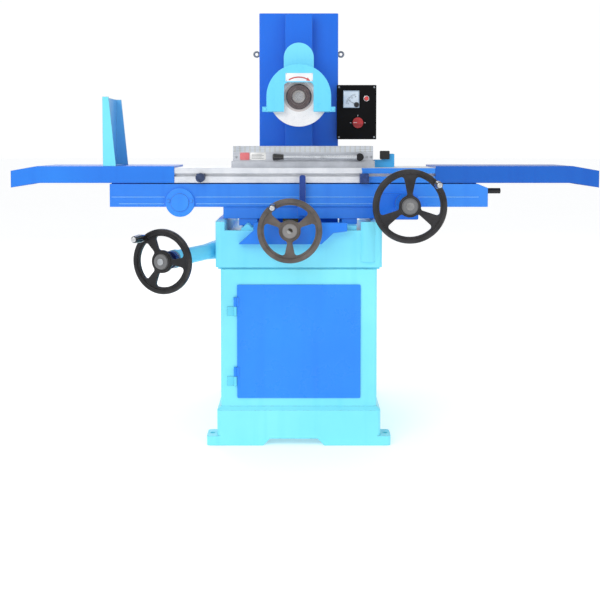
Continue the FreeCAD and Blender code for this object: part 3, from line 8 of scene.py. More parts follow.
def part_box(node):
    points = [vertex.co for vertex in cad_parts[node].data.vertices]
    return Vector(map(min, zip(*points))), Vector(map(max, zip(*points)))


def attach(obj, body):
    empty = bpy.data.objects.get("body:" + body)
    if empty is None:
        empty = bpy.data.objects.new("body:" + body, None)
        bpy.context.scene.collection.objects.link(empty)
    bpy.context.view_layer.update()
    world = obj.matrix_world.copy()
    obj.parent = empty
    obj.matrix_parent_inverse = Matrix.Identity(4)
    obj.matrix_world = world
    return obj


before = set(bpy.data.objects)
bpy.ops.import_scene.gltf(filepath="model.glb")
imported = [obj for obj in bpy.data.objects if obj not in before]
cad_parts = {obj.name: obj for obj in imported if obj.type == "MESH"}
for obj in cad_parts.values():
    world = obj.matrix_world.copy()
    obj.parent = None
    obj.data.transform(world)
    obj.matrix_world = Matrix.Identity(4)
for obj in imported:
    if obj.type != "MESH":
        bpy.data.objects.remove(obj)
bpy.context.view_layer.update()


# ---- Floor, light and view ----
# The machine stands on a plain pale floor in even daylight from large soft windows.
# The viewer stands in front of the table, at eye level with the wheel's lowest point.
def fill_inputs(tree, node, inputs):
    """Sets a node's inputs, each to a value or to another node's output."""
    for socket, value in inputs.items():
        if isinstance(value, bpy.types.NodeSocket):
            tree.links.new(value, node.inputs[socket])
        else:
            node.inputs[socket].default_value = value


def add_node(tree, kind, inputs=None, **settings):
    """A node of one kind with its settings and inputs."""
    node = tree.nodes.new(kind)
    for setting, value in settings.items():
        setattr(node, setting, value)
    fill_inputs(tree, node, inputs or {})
    return node


def paint_chart(red, green, blue):
    """A colour read off a paint chart, 0 to 255, as the shader's linear colour."""
    linear = []
    for part in (red, green, blue):
        part = part / 255
        linear.append(part / 12.92 if part < 0.04045 else ((part + 0.055) / 1.055) ** 2.4)
    return (*linear, 1.0)


def floor_finish():
    material = bpy.data.materials.new("pale_floor")
    material.use_nodes = True
    tree = material.node_tree
    place = add_node(tree, "ShaderNodeTexCoord").outputs["Object"]
    cloud = add_node(tree, "ShaderNodeTexNoise", {"Vector": place, "Scale": 0.8, "Detail": 3.0})
    pale, paler = (0.93, 0.94, 0.95, 1), (0.96, 0.965, 0.97, 1)
    tone = add_node(tree, "ShaderNodeMix", {0: cloud.outputs["Fac"], 6: pale, 7: paler}, data_type="RGBA")
    values = {"Base Color": tone.outputs[2], "Roughness": 0.9, "Specular IOR Level": 0.1}
    values.update({"Emission Color": (1, 1, 1, 1), "Emission Strength": 0.3})
    fill_inputs(tree, tree.nodes["Principled BSDF"], values)
    return material


def put_in_scene(name, data):
    """A new object for a mesh, lamp, camera or curve."""
    held = bpy.data.objects.new(name, data)
    bpy.context.scene.collection.objects.link(held)
    return held


floor_shape = bmesh.new()
bmesh.ops.create_circle(floor_shape, cap_ends=True, radius=60.0, segments=96)
floor_mesh = bpy.data.meshes.new("floor")
floor_shape.to_mesh(floor_mesh)
floor_shape.free()
floor_mesh.transform(Matrix.Translation((0, 0, -0.0005)))
floor_mesh.materials.append(floor_finish())
floor = put_in_scene("floor", floor_mesh)

daylight = bpy.data.worlds.new("daylight")
daylight.use_nodes = True
daylight_tree = daylight.node_tree
straight_view = add_node(daylight_tree, "ShaderNodeLightPath").outputs["Is Camera Ray"]
sky = add_node(
    daylight_tree, "ShaderNodeMath", {0: straight_view, 1: 0.3, 2: 0.72}, operation="MULTIPLY_ADD"
)
daylight_tree.nodes["Background"].inputs["Color"].default_value = (0.99, 0.995, 1.0, 1)
daylight_tree.links.new(sky.outputs[0], daylight_tree.nodes["Background"].inputs["Strength"])
bpy.context.scene.world = daylight
bpy.context.scene.view_settings.view_transform = "Standard"


def window_light(name, place, aim, size, watts):
    """A square soft window, turned to face a point of the machine."""
    lamp = bpy.data.lights.new(name, "AREA")
    lamp.shape = "SQUARE"
    lamp.size = size
    lamp.energy = watts
    window = put_in_scene(name, lamp)
    window.location = place
    window.rotation_euler = (Vector(aim) - Vector(place)).to_track_quat("-Z", "Y").to_euler()


window_light("front_window", (-2.4, -4.2, 3.4), (0, 0, 0.8), 2.8, 78)
window_light("side_window", (3.6, -2.6, 2.6), (0, 0, 0.9), 2.2, 20)
window_light("back_window", (-1.0, 4.4, 3.6), (0, 0, 0.8), 2.6, 55)

view_data = bpy.data.cameras.new("view")
view_data.sensor_width = 36.0
view_data.lens = 58.2
drop, reach = 49, 970
view_tilt = math.atan(drop / reach)
view_data.shift_x = 0.002
view_data.shift_y = -0.18
view = put_in_scene("view", view_data)
view.location = (0.0, -3.425, 0.968)
view.rotation_euler = (math.pi / 2 - view_tilt, 0, 0)
bpy.context.scene.camera = view


# ---- Floor casting, bed and door ----
# The cabinet base and the bed are grey iron castings, filled, rubbed down and sprayed with
# cyan machine enamel. The door is pressed sheet in azure enamel, on two pin hinges.
def new_group(name, inputs, outputs):
    """An empty shader group with named sockets, and the node that brings its inputs in."""
    group = bpy.data.node_groups.new(name, "ShaderNodeTree")
    for label, kind in inputs:
        group.interface.new_socket(label, in_out="INPUT", socket_type="NodeSocket" + kind)
    for label, kind in outputs:
        group.interface.new_socket(label, in_out="OUTPUT", socket_type="NodeSocket" + kind)
    return group, group.nodes.new("NodeGroupInput"), group.nodes.new("NodeGroupOutput")


def place_group(tree, group, values):
    """A shader group put in a material, with its inputs by name."""
    return add_node(tree, "ShaderNodeGroup", values, node_tree=group)


def maths(tree, kind, first, second=0.0, clamp=False):
    """Plain arithmetic on one or two values."""
    inputs = {0: first, 1: second}
    return add_node(tree, "ShaderNodeMath", inputs, operation=kind, use_clamp=clamp).outputs[0]


def times(tree, first, second):
    return maths(tree, "MULTIPLY", first, second)


def plus(tree, first, second, clamp=False):
    return maths(tree, "ADD", first, second, clamp)


def minus(tree, first, second):
    return maths(tree, "SUBTRACT", first, second)


def vector_maths(tree, kind, first, second=(0, 0, 0)):
    """Arithmetic on vectors; a length or a dot product comes out as a value."""
    node = add_node(tree, "ShaderNodeVectorMath", {0: first, 1: second}, operation=kind)
    return node.outputs["Value" if kind in ("LENGTH", "DOT_PRODUCT") else "Vector"]


def part_of(tree, vector, part):
    """One of a vector's three parts."""
    return add_node(tree, "ShaderNodeSeparateXYZ", {0: vector}).outputs[part]


def surface_normal(tree):
    return add_node(tree, "ShaderNodeNewGeometry").outputs["Normal"]


def ramp_of(tree, value, low, high, to_low=0.0, to_high=1.0):
    """A value stretched from one range to another, held at the ends."""
    inputs = {0: value, 1: low, 2: high, 3: to_low, 4: to_high}
    return add_node(tree, "ShaderNodeMapRange", inputs).outputs[0]


def blend_of(tree, share, first, second):
    """Two colours mixed by a share; three numbers are read off the paint chart."""
    colours = []
    for colour in (first, second):
        on_chart = isinstance(colour, tuple) and len(colour) == 3
        colours.append(paint_chart(*colour) if on_chart else colour)
    inputs = {0: share, 6: colours[0], 7: colours[1]}
    return add_node(tree, "ShaderNodeMix", inputs, data_type="RGBA").outputs[2]


def toned(colour, share, lift=0):
    """A chart colour made darker or lighter."""
    return tuple(min(255, int(part * share + lift)) for part in colour)


def stretched(tree, vector, scale):
    return vector_maths(tree, "MULTIPLY", vector, scale)


def noise_of(tree, vector, scale, detail=2.0, rough=0.5):
    inputs = {"Vector": vector, "Scale": scale, "Detail": detail, "Roughness": rough}
    return add_node(tree, "ShaderNodeTexNoise", inputs).outputs["Fac"]


# rubbed edges: where a sharp edge is touched and knocked, in broken patches
worn_edges, given, made = new_group(
    "worn_edges",
    [("Vector", "Vector"), ("Width", "Float"), ("Patches", "Float"), ("Wear", "Float")],
    [("Mask", "Float"), ("Normal", "Vector")],
)
eased = add_node(worn_edges, "ShaderNodeBevel", {"Radius": given.outputs["Width"]}, samples=5)
agree = vector_maths(worn_edges, "DOT_PRODUCT", eased.outputs[0], surface_normal(worn_edges))
edge_share = ramp_of(worn_edges, agree, 0.985, 0.86)
patches = noise_of(worn_edges, given.outputs["Vector"], 1.0, 4.0, 0.65)
worn_edges.links.new(given.outputs["Patches"], worn_edges.nodes["Noise Texture"].inputs["Scale"])
patch_start = minus(worn_edges, 0.95, given.outputs["Wear"])
patch_share = ramp_of(worn_edges, minus(worn_edges, patches, patch_start), -0.12, 0.1)
worn_edges.links.new(times(worn_edges, edge_share, patch_share), made.inputs["Mask"])
worn_edges.links.new(eased.outputs[0], made.inputs["Normal"])


def edge_wear(tree, where, width, patches, wear):
    """The rubbed edges of one piece."""
    values = {"Vector": where, "Width": width, "Patches": patches, "Wear": wear}
    return place_group(tree, worn_edges, values)


# a sprayed enamel skin: cloudy tone, faint runs, orange peel and the casting's low waves
enamel_skin, given, made = new_group(
    "enamel_skin",
    [("Vector", "Vector"), ("Colour", "Color"), ("Deep", "Color"), ("Cast", "Float"), ("Gloss", "Float")],
    [("Colour", "Color"), ("Roughness", "Float"), ("Height", "Float")],
)
where = given.outputs["Vector"]
clouds = ramp_of(enamel_skin, noise_of(enamel_skin, where, 3.2, 4.0), 0.36, 0.72, 0.0, 0.5)
runs = noise_of(enamel_skin, stretched(enamel_skin, where, (26, 26, 1.6)), 1.0, 3.0)
clouds = plus(enamel_skin, clouds, ramp_of(enamel_skin, runs, 0.5, 0.8, 0.0, 0.35), True)
tone = blend_of(enamel_skin, clouds, given.outputs["Colour"], given.outputs["Deep"])
specks = ramp_of(enamel_skin, noise_of(enamel_skin, where, 420.0, 1.0), 0.74, 0.8, 0.0, 0.22)
tone = blend_of(enamel_skin, specks, tone, (0.05, 0.08, 0.1, 1))
smears = ramp_of(enamel_skin, noise_of(enamel_skin, where, 11.0, 5.0, 0.6), 0.4, 0.75, 0.0, 0.16)
peel = times(enamel_skin, noise_of(enamel_skin, where, 330.0, 2.0), 0.3)
waves = times(enamel_skin, noise_of(enamel_skin, where, 34.0, 3.0), given.outputs["Cast"])
enamel_skin.links.new(tone, made.inputs["Colour"])
enamel_skin.links.new(plus(enamel_skin, given.outputs["Gloss"], smears), made.inputs["Roughness"])
enamel_skin.links.new(plus(enamel_skin, peel, waves), made.inputs["Height"])


def sprayed(tree, where, colour, deep, cast, gloss):
    """The enamel skin in one colour and its deeper shade."""
    values = {"Vector": where, "Colour": colour, "Deep": deep, "Cast": cast, "Gloss": gloss}
    return place_group(tree, enamel_skin, values)


def new_finish(name):
    """A material, its tree, its shader and the piece's own coordinates."""
    material = bpy.data.materials.new(name)
    material.use_nodes = True
    tree = material.node_tree
    where = add_node(tree, "ShaderNodeTexCoord").outputs["Object"]
    return material, tree, tree.nodes["Principled BSDF"], where


def feed(tree, shader, **sockets):
    """Sets the shader's inputs, named with underscores."""
    fill_inputs(tree, shader, {label.replace("_", " "): value for label, value in sockets.items()})


def bump_of(tree, height, depth, normal):
    inputs = {"Strength": 1.0, "Distance": depth, "Height": height, "Normal": normal}
    return add_node(tree, "ShaderNodeBump", inputs).outputs[0]


def enamel(name, colour, deep, cast=0.5, gloss=0.3, wear=0.42, under=(96, 104, 110), zone=None):
    """Machine enamel over grey iron. A zone paints the side where the axis coordinate is below the limit
    another colour.
    """
    material, tree, shader, where = new_finish(name)
    top_coat, deep_coat = paint_chart(*colour), paint_chart(*deep)
    if zone:
        axis, limit, zone_colour, zone_deep = zone
        split = part_of(tree, where, "XYZ".index(axis))
        inside = ramp_of(tree, split, limit - 0.0004, limit + 0.0004, 1.0, 0.0)
        top_coat = blend_of(tree, inside, top_coat, zone_colour)
        deep_coat = blend_of(tree, inside, deep_coat, zone_deep)
    skin = sprayed(tree, where, top_coat, deep_coat, cast, gloss)
    edges = edge_wear(tree, where, 0.0016, 38.0, wear)
    colour_out = blend_of(tree, edges.outputs["Mask"], skin.outputs["Colour"], under)
    rough = plus(
        tree, skin.outputs["Roughness"], times(tree, edges.outputs["Mask"], 0.2)
    )
    normal = bump_of(tree, skin.outputs["Height"], 0.00035, edges.outputs["Normal"])
    feed(
        tree, shader, Base_Color=colour_out, Roughness=rough, Normal=normal,
        Specular_IOR_Level=0.34, Coat_Weight=0.12, Coat_Roughness=0.14,
    )
    return material


def finish_nodes(material, *names):
    """Gives CAD pieces their finish."""
    for name in names:
        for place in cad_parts[name].material_slots:
            place.material = material


finish_nodes(enamel("cyan_casting", (136, 238, 252), (104, 218, 242), 1.0, 0.32, 0.46), "base_cabinet")
finish_nodes(enamel("cyan_bed", (132, 232, 252), (102, 214, 244), 1.0, 0.3, 0.44), "bed", "bearing_bracket")
finish_nodes(enamel("azure_sheet", (38, 142, 250), (26, 124, 240), 0.1, 0.26, 0.4), "cabinet_door")
finish_nodes(enamel("cyan_hinge", (112, 222, 246), (90, 200, 232), 0.2, 0.3, 0.6), "door_hinges")


def mesh_piece(name, shape, material, body, smooth=True):
    """A finished bmesh as a piece that rides on a body, shaded smooth up to 35 degrees."""
    bmesh.ops.recalc_face_normals(shape, faces=shape.faces)
    mesh = bpy.data.meshes.new(name)
    shape.to_mesh(mesh)
    shape.free()
    mesh.materials.append(material)
    if smooth:
        mesh.shade_smooth()
        mesh.set_sharp_from_angle(angle=math.radians(35))
    piece = put_in_scene(name, mesh)
    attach(piece, body)
    return piece


def lathe(profile, steps=48):
    """A turned solid about +Z from its outline of (radius, height) points, axis end to axis end."""
    shape = bmesh.new()
    rings = []
    for radius, height in profile:
        if radius == 0:
            rings.append([shape.verts.new((0, 0, height))])
            continue
        ring = []
        for step in range(steps):
            turn = 2 * math.pi * step / steps
            ring.append(shape.verts.new((radius * math.cos(turn), radius * math.sin(turn), height)))
        rings.append(ring)
    for lower, upper in zip(rings, rings[1:]):
        for step in range(steps):
            after = (step + 1) % steps
            corners = [lower[step % len(lower)], lower[after % len(lower)]]
            corners += [upper[after % len(upper)], upper[step % len(upper)]]
            unique = list(dict.fromkeys(corners))
            if len(unique) > 2:
                shape.faces.new(unique)
    return shape


def facing_front(x, y, z):
    """Places a piece made about +Z so that it faces the operator."""
    return Matrix.Translation((x, y, z)) @ Matrix.Rotation(math.pi / 2, 4, "X")


# turning marks: radius and distance along an axis, for lathe rings on round pieces
about_axis, given, made = new_group(
    "about_axis",
    [("Vector", "Vector"), ("Point", "Vector"), ("Axis", "Vector")],
    [("Radius", "Float"), ("Along", "Float")],
)
axis = given.outputs["Axis"]
arm = vector_maths(about_axis, "SUBTRACT", given.outputs["Vector"], given.outputs["Point"])
turned_across = vector_maths(about_axis, "CROSS_PRODUCT", arm, axis)
about_axis.links.new(vector_maths(about_axis, "LENGTH", turned_across), made.inputs["Radius"])
about_axis.links.new(vector_maths(about_axis, "DOT_PRODUCT", arm, axis), made.inputs["Along"])


def axis_distance(tree, where, point, axis):
    """How far out from an axis and how far along it each spot is."""
    return place_group(tree, about_axis, {"Vector": where, "Point": point, "Axis": axis})


def lathe_marks(tree, where, point, axis, pitch=0.0007):
    """Fine rings that a lathe tool leaves, and the radius and length they come from."""
    turn = axis_distance(tree, where, point, axis)
    both = plus(tree, turn.outputs["Radius"], turn.outputs["Along"])
    uneven = times(tree, noise_of(tree, where, 60.0, 2.0), 0.0006)
    phase = times(tree, plus(tree, both, uneven), 2 * math.pi / pitch)
    return maths(tree, "SINE", phase), turn


def turned_steel(name, point, axis, colour=(186, 190, 194), gloss=0.26, rust=0.0, metal=1.0, black_from=None):
    """Bright steel off the lathe, with oil-darkened patches, blacked beyond an X if asked."""
    material, tree, shader, where = new_finish(name)
    rings, _ = lathe_marks(tree, where, point, axis)
    patches = ramp_of(tree, noise_of(tree, where, 45.0, 4.0, 0.6), 0.42, 0.7, 0.0, 0.6)
    oiled = toned(colour, 0.66)
    tone = blend_of(tree, patches, colour, oiled)
    if black_from is not None:
        across = part_of(tree, where, 0)
        tone = blend_of(tree, ramp_of(tree, across, black_from, black_from + 0.001), tone, (34, 34, 38))
    if rust:
        spots = ramp_of(tree, noise_of(tree, where, 160.0, 5.0, 0.7), 0.64, 0.72, 0.0, rust)
        tone = blend_of(tree, spots, tone, (104, 66, 42))
    edges = edge_wear(tree, where, 0.0006, 120.0, 0.5)
    tone = blend_of(tree, edges.outputs["Mask"], tone, (222, 224, 226))
    rough = plus(tree, times(tree, rings, 0.04), gloss)
    rough = plus(tree, rough, times(tree, patches, 0.16))
    normal = bump_of(tree, rings, 0.00002, edges.outputs["Normal"])
    feed(tree, shader, Base_Color=tone, Roughness=rough, Normal=normal, Metallic=metal)
    return material


# ---- Column ----
# A tall box casting with the wheel head's T-shaped way planed on its front, in royal blue
# enamel. A screwed sheet closes the casting's window at the back, and two eye bolts lift it.
sideways, in_out, upright = (1, 0, 0), (0, 1, 0), (0, 0, 1)
column_blue = ((18, 112, 230), (12, 94, 208))
finish_nodes(enamel("royal_casting", *column_blue, 0.8, 0.3, 0.42), "column")
finish_nodes(enamel("royal_sheet", (24, 118, 232), (16, 98, 214), 0.1, 0.28, 0.4), "column_rear_cover")
eye_z = (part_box("eye_bolts")[0].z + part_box("eye_bolts")[1].z) / 2
finish_nodes(
    turned_steel("zinc_eye_bolts", (0, 0.15, eye_z), sideways, (150, 156, 160), 0.34, 0.2), "eye_bolts"
)


def geometry_tree(name, inputs):
    """An empty Geometry Nodes tree with named inputs after its own geometry."""
    tree = bpy.data.node_groups.new(name, "GeometryNodeTree")
    tree.interface.new_socket("Geometry", in_out="INPUT", socket_type="NodeSocketGeometry")
    for label, kind in inputs:
        tree.interface.new_socket(label, in_out="INPUT", socket_type="NodeSocket" + kind)
    tree.interface.new_socket("Geometry", in_out="OUTPUT", socket_type="NodeSocketGeometry")
    return tree, tree.nodes.new("NodeGroupInput"), tree.nodes.new("NodeGroupOutput")


def end_tree(tree, copies, given, made):
    """Turns the copies into plain geometry with the finish given to the tree."""
    real = add_node(tree, "GeometryNodeRealizeInstances", {0: copies}).outputs[0]
    values = {"Geometry": real, "Material": given.outputs["Finish"]}
    tree.links.new(add_node(tree, "GeometryNodeSetMaterial", values).outputs[0], made.inputs[0])


def grown_piece(name, tree, values, points, body, place=Matrix.Identity(4)):
    """Runs a tree on loose points and keeps the result as a plain piece of one body."""
    seeds = bpy.data.meshes.new(name + "_places")
    seeds.from_pydata([tuple(point) for point in points], [], [])
    seed_object = put_in_scene(name + "_seeds", seeds)
    grower = seed_object.modifiers.new("grow", "NODES")
    grower.node_group = tree
    for socket in tree.interface.items_tree:
        if socket.in_out == "INPUT" and socket.name in values:
            grower[socket.identifier] = values[socket.name]
    bpy.context.view_layer.update()
    state = bpy.context.evaluated_depsgraph_get()
    mesh = bpy.data.meshes.new_from_object(seed_object.evaluated_get(state), depsgraph=state)
    mesh.name = name
    mesh.transform(place)
    bpy.data.objects.remove(seed_object)
    piece = put_in_scene(name, mesh)
    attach(piece, body)
    return piece


# a cross-slotted pan head on each point, spun to a random angle as a fitter leaves it
screw_heads, given, made = geometry_tree(
    "screw_heads",
    [
        ("Head radius", "Float"),
        ("Head height", "Float"),
        ("Slot depth", "Float"),
        ("Facing", "Vector"),
        ("Spin seed", "Int"),
        ("Finish", "Material"),
    ],
)
head_radius, head_height = given.outputs["Head radius"], given.outputs["Head height"]
crown_radius = times(screw_heads, head_radius, 0.78)
crown = add_node(
    screw_heads,
    "GeometryNodeMeshCone",
    {"Vertices": 20, "Radius Top": crown_radius, "Radius Bottom": head_radius, "Depth": head_height},
)
slot_long = add_node(
    screw_heads,
    "ShaderNodeCombineXYZ",
    {0: times(screw_heads, head_radius, 1.1), 1: times(screw_heads, head_radius, 0.24)},
)
screw_heads.links.new(times(screw_heads, head_height, 2.0), slot_long.inputs[2])
slot_cut = add_node(screw_heads, "GeometryNodeMeshCube", {"Size": slot_long.outputs[0]})
slot_lift = add_node(screw_heads, "ShaderNodeCombineXYZ")
slot_height = minus(screw_heads, times(screw_heads, head_height, 2.0), given.outputs["Slot depth"])
screw_heads.links.new(slot_height, slot_lift.inputs[2])
slots = []
for turn in (0.0, math.pi / 2):
    values = {"Geometry": slot_cut.outputs[0], "Translation": slot_lift.outputs[0]}
    values["Rotation"] = Euler((0, 0, turn))
    slots.append(add_node(screw_heads, "GeometryNodeTransform", values).outputs[0])
slotted = add_node(
    screw_heads, "GeometryNodeMeshBoolean", {"Mesh 1": crown.outputs[0]}, operation="DIFFERENCE"
)
for cutter in slots:
    screw_heads.links.new(cutter, slotted.inputs["Mesh 2"])
spread = add_node(
    screw_heads,
    "GeometryNodeInstanceOnPoints",
    {
        "Points": given.outputs["Geometry"], "Instance": slotted.outputs[0],
        "Rotation": given.outputs["Facing"],
    },
)
spin = add_node(
    screw_heads, "FunctionNodeRandomValue", {2: 0.0, 3: math.pi, "Seed": given.outputs["Spin seed"]}
)
spin_turn = add_node(screw_heads, "ShaderNodeCombineXYZ", {2: spin.outputs[1]})
spun = add_node(
    screw_heads,
    "GeometryNodeRotateInstances",
    {"Instances": spread.outputs[0], "Rotation": spin_turn.outputs[0], "Local Space": True},
)
end_tree(screw_heads, spun.outputs[0], given, made)
toward_front, toward_back = Vector((math.pi / 2, 0, 0)), Vector((-math.pi / 2, 0, 0))


def screws(name, points, radius, height, facing, finish, body, seed=1, slot=0.6):
    """Screw heads at points on a face; the slot is a share of the head's height."""
    values = {"Head radius": radius, "Head height": height, "Slot depth": height * slot}
    values.update({"Facing": facing, "Spin seed": seed, "Finish": finish})
    return grown_piece(name, screw_heads, values, points, body)


def dark_steel(name, colour=(70, 72, 76), gloss=0.38, grain=90.0, metal=0.85):
    """Blackened or plated small steel, with bright rubbed edges."""
    material, tree, shader, where = new_finish(name)
    mottle = ramp_of(tree, noise_of(tree, where, grain, 4.0, 0.6), 0.35, 0.7, 0.0, 0.6)
    lighter = toned(colour, 1.45, 12)
    tone = blend_of(tree, mottle, colour, lighter)
    edges = edge_wear(tree, where, 0.0006, 150.0, 0.6)
    tone = blend_of(tree, edges.outputs["Mask"], tone, (176, 178, 180))
    rough = plus(tree, times(tree, mottle, 0.18), gloss)
    fine = noise_of(tree, where, 900.0, 2.0)
    normal = bump_of(tree, fine, 0.00004, edges.outputs["Normal"])
    feed(tree, shader, Base_Color=tone, Roughness=rough, Normal=normal, Metallic=metal)
    return material


def face_points(across, y, up):
    """Points on a front or back face at every crossing of the given X and Z."""
    return [(x, y, z) for x in across for z in up]


small_screw_steel = dark_steel("small_screw_steel", (150, 154, 158), 0.3)
cover_low, cover_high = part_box("column_rear_cover")
side_inset, end_inset = 0.009, 0.014
cover_points = []
for row in range(6):
    height = cover_low.z + end_inset + (cover_high.z - cover_low.z - 2 * end_inset) * row / 5
    for cover_x in (cover_low.x + side_inset, cover_high.x - side_inset):
        cover_points.append((cover_x, cover_high.y, height))
cover_points += face_points((0,), cover_high.y, (cover_low.z + end_inset, cover_high.z - end_inset))
screws(
    "rear_cover_screws", cover_points, 0.0048, 0.0026, toward_back, small_screw_steel, "frame",
    3,
)


# ---- Elevation drive ----
# The hand shaft runs through a painted tube to a bevel pair under the column's screw. A navy
# collar with white graduations turns with the wheel against a line on the tube's lip.
finish_nodes(enamel("sky_tube", (116, 214, 244), (88, 192, 234), 0.5, 0.28, 0.5), "elevation_tube")
dial_low, dial_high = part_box("elevation_dial")
dial_middle = (dial_low + dial_high) / 2
shaft_line = Vector((-math.sin(math.radians(22)), -math.cos(math.radians(22)), 0))
dial_radius = (dial_high.z - dial_low.z) / 2
shaft_axis = tuple(shaft_line)
finish_nodes(turned_steel("elevation_shaft_steel", tuple(dial_middle), shaft_axis), "elevation_shaft")
finish_nodes(
    turned_steel("bevel_steel", tuple(dial_middle), shaft_axis, (150, 148, 144), 0.34), "bevel_pinion"
)
finish_nodes(
    turned_steel("bevel_wheel_steel", (-0.089, 0.205, 0), upright, (150, 148, 144), 0.34), "bevel_gear"
)


def plastic(name, colour, deep, gloss=0.22, speckle=500.0, coat=0.4, grain=0.00003):
    """Moulded or lacquered finish with a faint flow pattern and dust."""
    material, tree, shader, where = new_finish(name)
    flow = ramp_of(tree, noise_of(tree, where, 24.0, 4.0, 0.6), 0.35, 0.72, 0.0, 0.8)
    tone = blend_of(tree, flow, colour, deep)
    dust = ramp_of(tree, noise_of(tree, where, speckle, 2.0), 0.66, 0.74, 0.0, 0.12)
    tone = blend_of(tree, dust, tone, (0.45, 0.45, 0.43, 1))
    edges = edge_wear(tree, where, 0.0008, 90.0, 0.3)
    rough = plus(tree, times(tree, flow, 0.14), gloss)
    height = plus(tree, noise_of(tree, where, 700.0, 2.0), times(tree, flow, 0.5))
    normal = bump_of(tree, height, grain, edges.outputs["Normal"])
    feed(
        tree, shader, Base_Color=tone, Roughness=rough, Normal=normal, Coat_Weight=coat, Coat_Roughness=0.08
    )
    return material


finish_nodes(plastic("navy_collar", (22, 34, 92), (14, 22, 66), 0.24), "elevation_dial")
white_fill = plastic("white_fill", (236, 238, 238), (214, 216, 214), 0.4, 300.0, 0.1)

# graduations: short and long lines round an arc, the long ones every fifth
graduations, given, made = geometry_tree(
    "graduations",
    [
        ("Lines", "Int"),
        ("Arc radius", "Float"),
        ("Start", "Float"),
        ("Sweep", "Float"),
        ("Short line", "Vector"),
        ("Long line", "Vector"),
        ("Long every", "Int"),
        ("Finish", "Material"),
    ],
)
line_number = add_node(graduations, "GeometryNodeInputIndex").outputs[0]
line_share = maths(graduations, "DIVIDE", line_number, minus(graduations, given.outputs["Lines"], 1.0))
line_turn = plus(
    graduations, given.outputs["Start"], times(graduations, line_share, given.outputs["Sweep"])
)
is_short = maths(
    graduations, "MINIMUM", maths(graduations, "MODULO", line_number, given.outputs["Long every"]), 1.0
)
line_size = add_node(
    graduations,
    "ShaderNodeMix",
    {0: is_short, 4: given.outputs["Long line"], 5: given.outputs["Short line"]},
    data_type="VECTOR",
).outputs[1]
halving = add_node(graduations, "ShaderNodeVectorMath", {0: line_size, "Scale": 0.5}, operation="SCALE")
half_size = halving.outputs[0]
half_parts = add_node(graduations, "ShaderNodeSeparateXYZ", {0: half_size})
inner_radius = minus(graduations, given.outputs["Arc radius"], half_parts.outputs[0])
line_place = add_node(
    graduations,
    "ShaderNodeCombineXYZ",
    {
        0: times(graduations, inner_radius, maths(graduations, "COSINE", line_turn)),
        1: times(graduations, inner_radius, maths(graduations, "SINE", line_turn)),
        2: half_parts.outputs[2],
    },
)
line_points = add_node(
    graduations, "GeometryNodePoints", {"Count": given.outputs["Lines"], "Position": line_place.outputs[0]}
)
line_block = add_node(graduations, "GeometryNodeMeshCube", {"Size": Vector((1, 1, 1))})
line_spin = add_node(graduations, "ShaderNodeCombineXYZ", {2: line_turn})
lines = add_node(
    graduations,
    "GeometryNodeInstanceOnPoints",
    {
        "Points": line_points.outputs[0],
        "Instance": line_block.outputs[0],
        "Rotation": line_spin.outputs[0],
        "Scale": line_size,
    },
)
end_tree(graduations, lines.outputs[0], given, made)


def scale_lines(name, lines, radius, start, sweep, short, long, every, finish, body, place):
    values = {
        "Lines": lines, "Arc radius": radius, "Start": start, "Sweep": sweep, "Short line": Vector(short)
    }
    values.update({"Long line": Vector(long), "Long every": every, "Finish": finish})
    return grown_piece(name, graduations, values, [], body, place)


along_shaft = shaft_line.to_track_quat("Z", "Y").to_matrix().to_4x4()
dial_back = dial_middle - shaft_line * 0.0112
scale_lines(
    "elevation_dial_lines",
    50,
    dial_radius + 0.0002,
    0.0,
    2 * math.pi * 49 / 50,
    (0.0006, 0.0005, 0.006),
    (0.0006, 0.0007, 0.010),
    5,
    white_fill,
    "elevation_wheel",
    Matrix.Translation(dial_back) @ along_shaft,
)
scale_lines(
    "elevation_index_line",
    2,
    0.0283,
    math.radians(90),
    math.radians(4),
    (0.0006, 0.0008, 0.009),
    (0.0006, 0.0008, 0.009),
    1,
    white_fill,
    "frame",
    Matrix.Translation(dial_back - shaft_line * 0.0115) @ along_shaft,
)


# ---- Lifting screw ----
# A rolled trapezoidal screw stands in the column and a bronze nut on the head's arm climbs it.
def threaded_steel(name, point, axis, side, pitch, colour=(168, 168, 166)):
    """A screw's thread as a helix of ridges about its axis, with painted shade in the grooves between them."""
    material, tree, shader, where = new_finish(name)
    turn = axis_distance(tree, where, point, axis)
    arm = vector_maths(tree, "SUBTRACT", where, point)
    other = Vector(axis).cross(Vector(side))
    ahead = vector_maths(tree, "DOT_PRODUCT", arm, side)
    aside = vector_maths(tree, "DOT_PRODUCT", arm, other)
    angle = maths(tree, "ARCTAN2", aside, ahead)
    phase = minus(tree, times(tree, turn.outputs["Along"], 2 * math.pi / pitch), angle)
    ridge = ramp_of(tree, maths(tree, "SINE", phase), -0.45, 0.45)
    oil = ramp_of(tree, noise_of(tree, where, 60.0, 4.0), 0.4, 0.7, 0.0, 0.7)
    # the thread's grooves are painted dark brown as painted shade, its crests in the steel colour
    tone = blend_of(tree, ridge, (58, 54, 48), colour)
    tone = blend_of(tree, oil, tone, (92, 84, 70))
    edges = edge_wear(tree, where, 0.0005, 120.0, 0.4)
    rough = ramp_of(tree, ridge, 0.0, 1.0, 0.5, 0.26)
    normal = bump_of(tree, ridge, 0.0009, edges.outputs["Normal"])
    feed(tree, shader, Base_Color=tone, Roughness=rough, Normal=normal, Metallic=0.9)
    return material


finish_nodes(
    threaded_steel("lifting_screw", (-0.089, 0.205, 0), upright, sideways, 0.005), "elevating_screw"
)
bronze = turned_steel("nut_bronze", (-0.089, 0.205, 0), upright, (196, 148, 84), 0.34)
finish_nodes(bronze, "elevating_nut", "cross_nut")


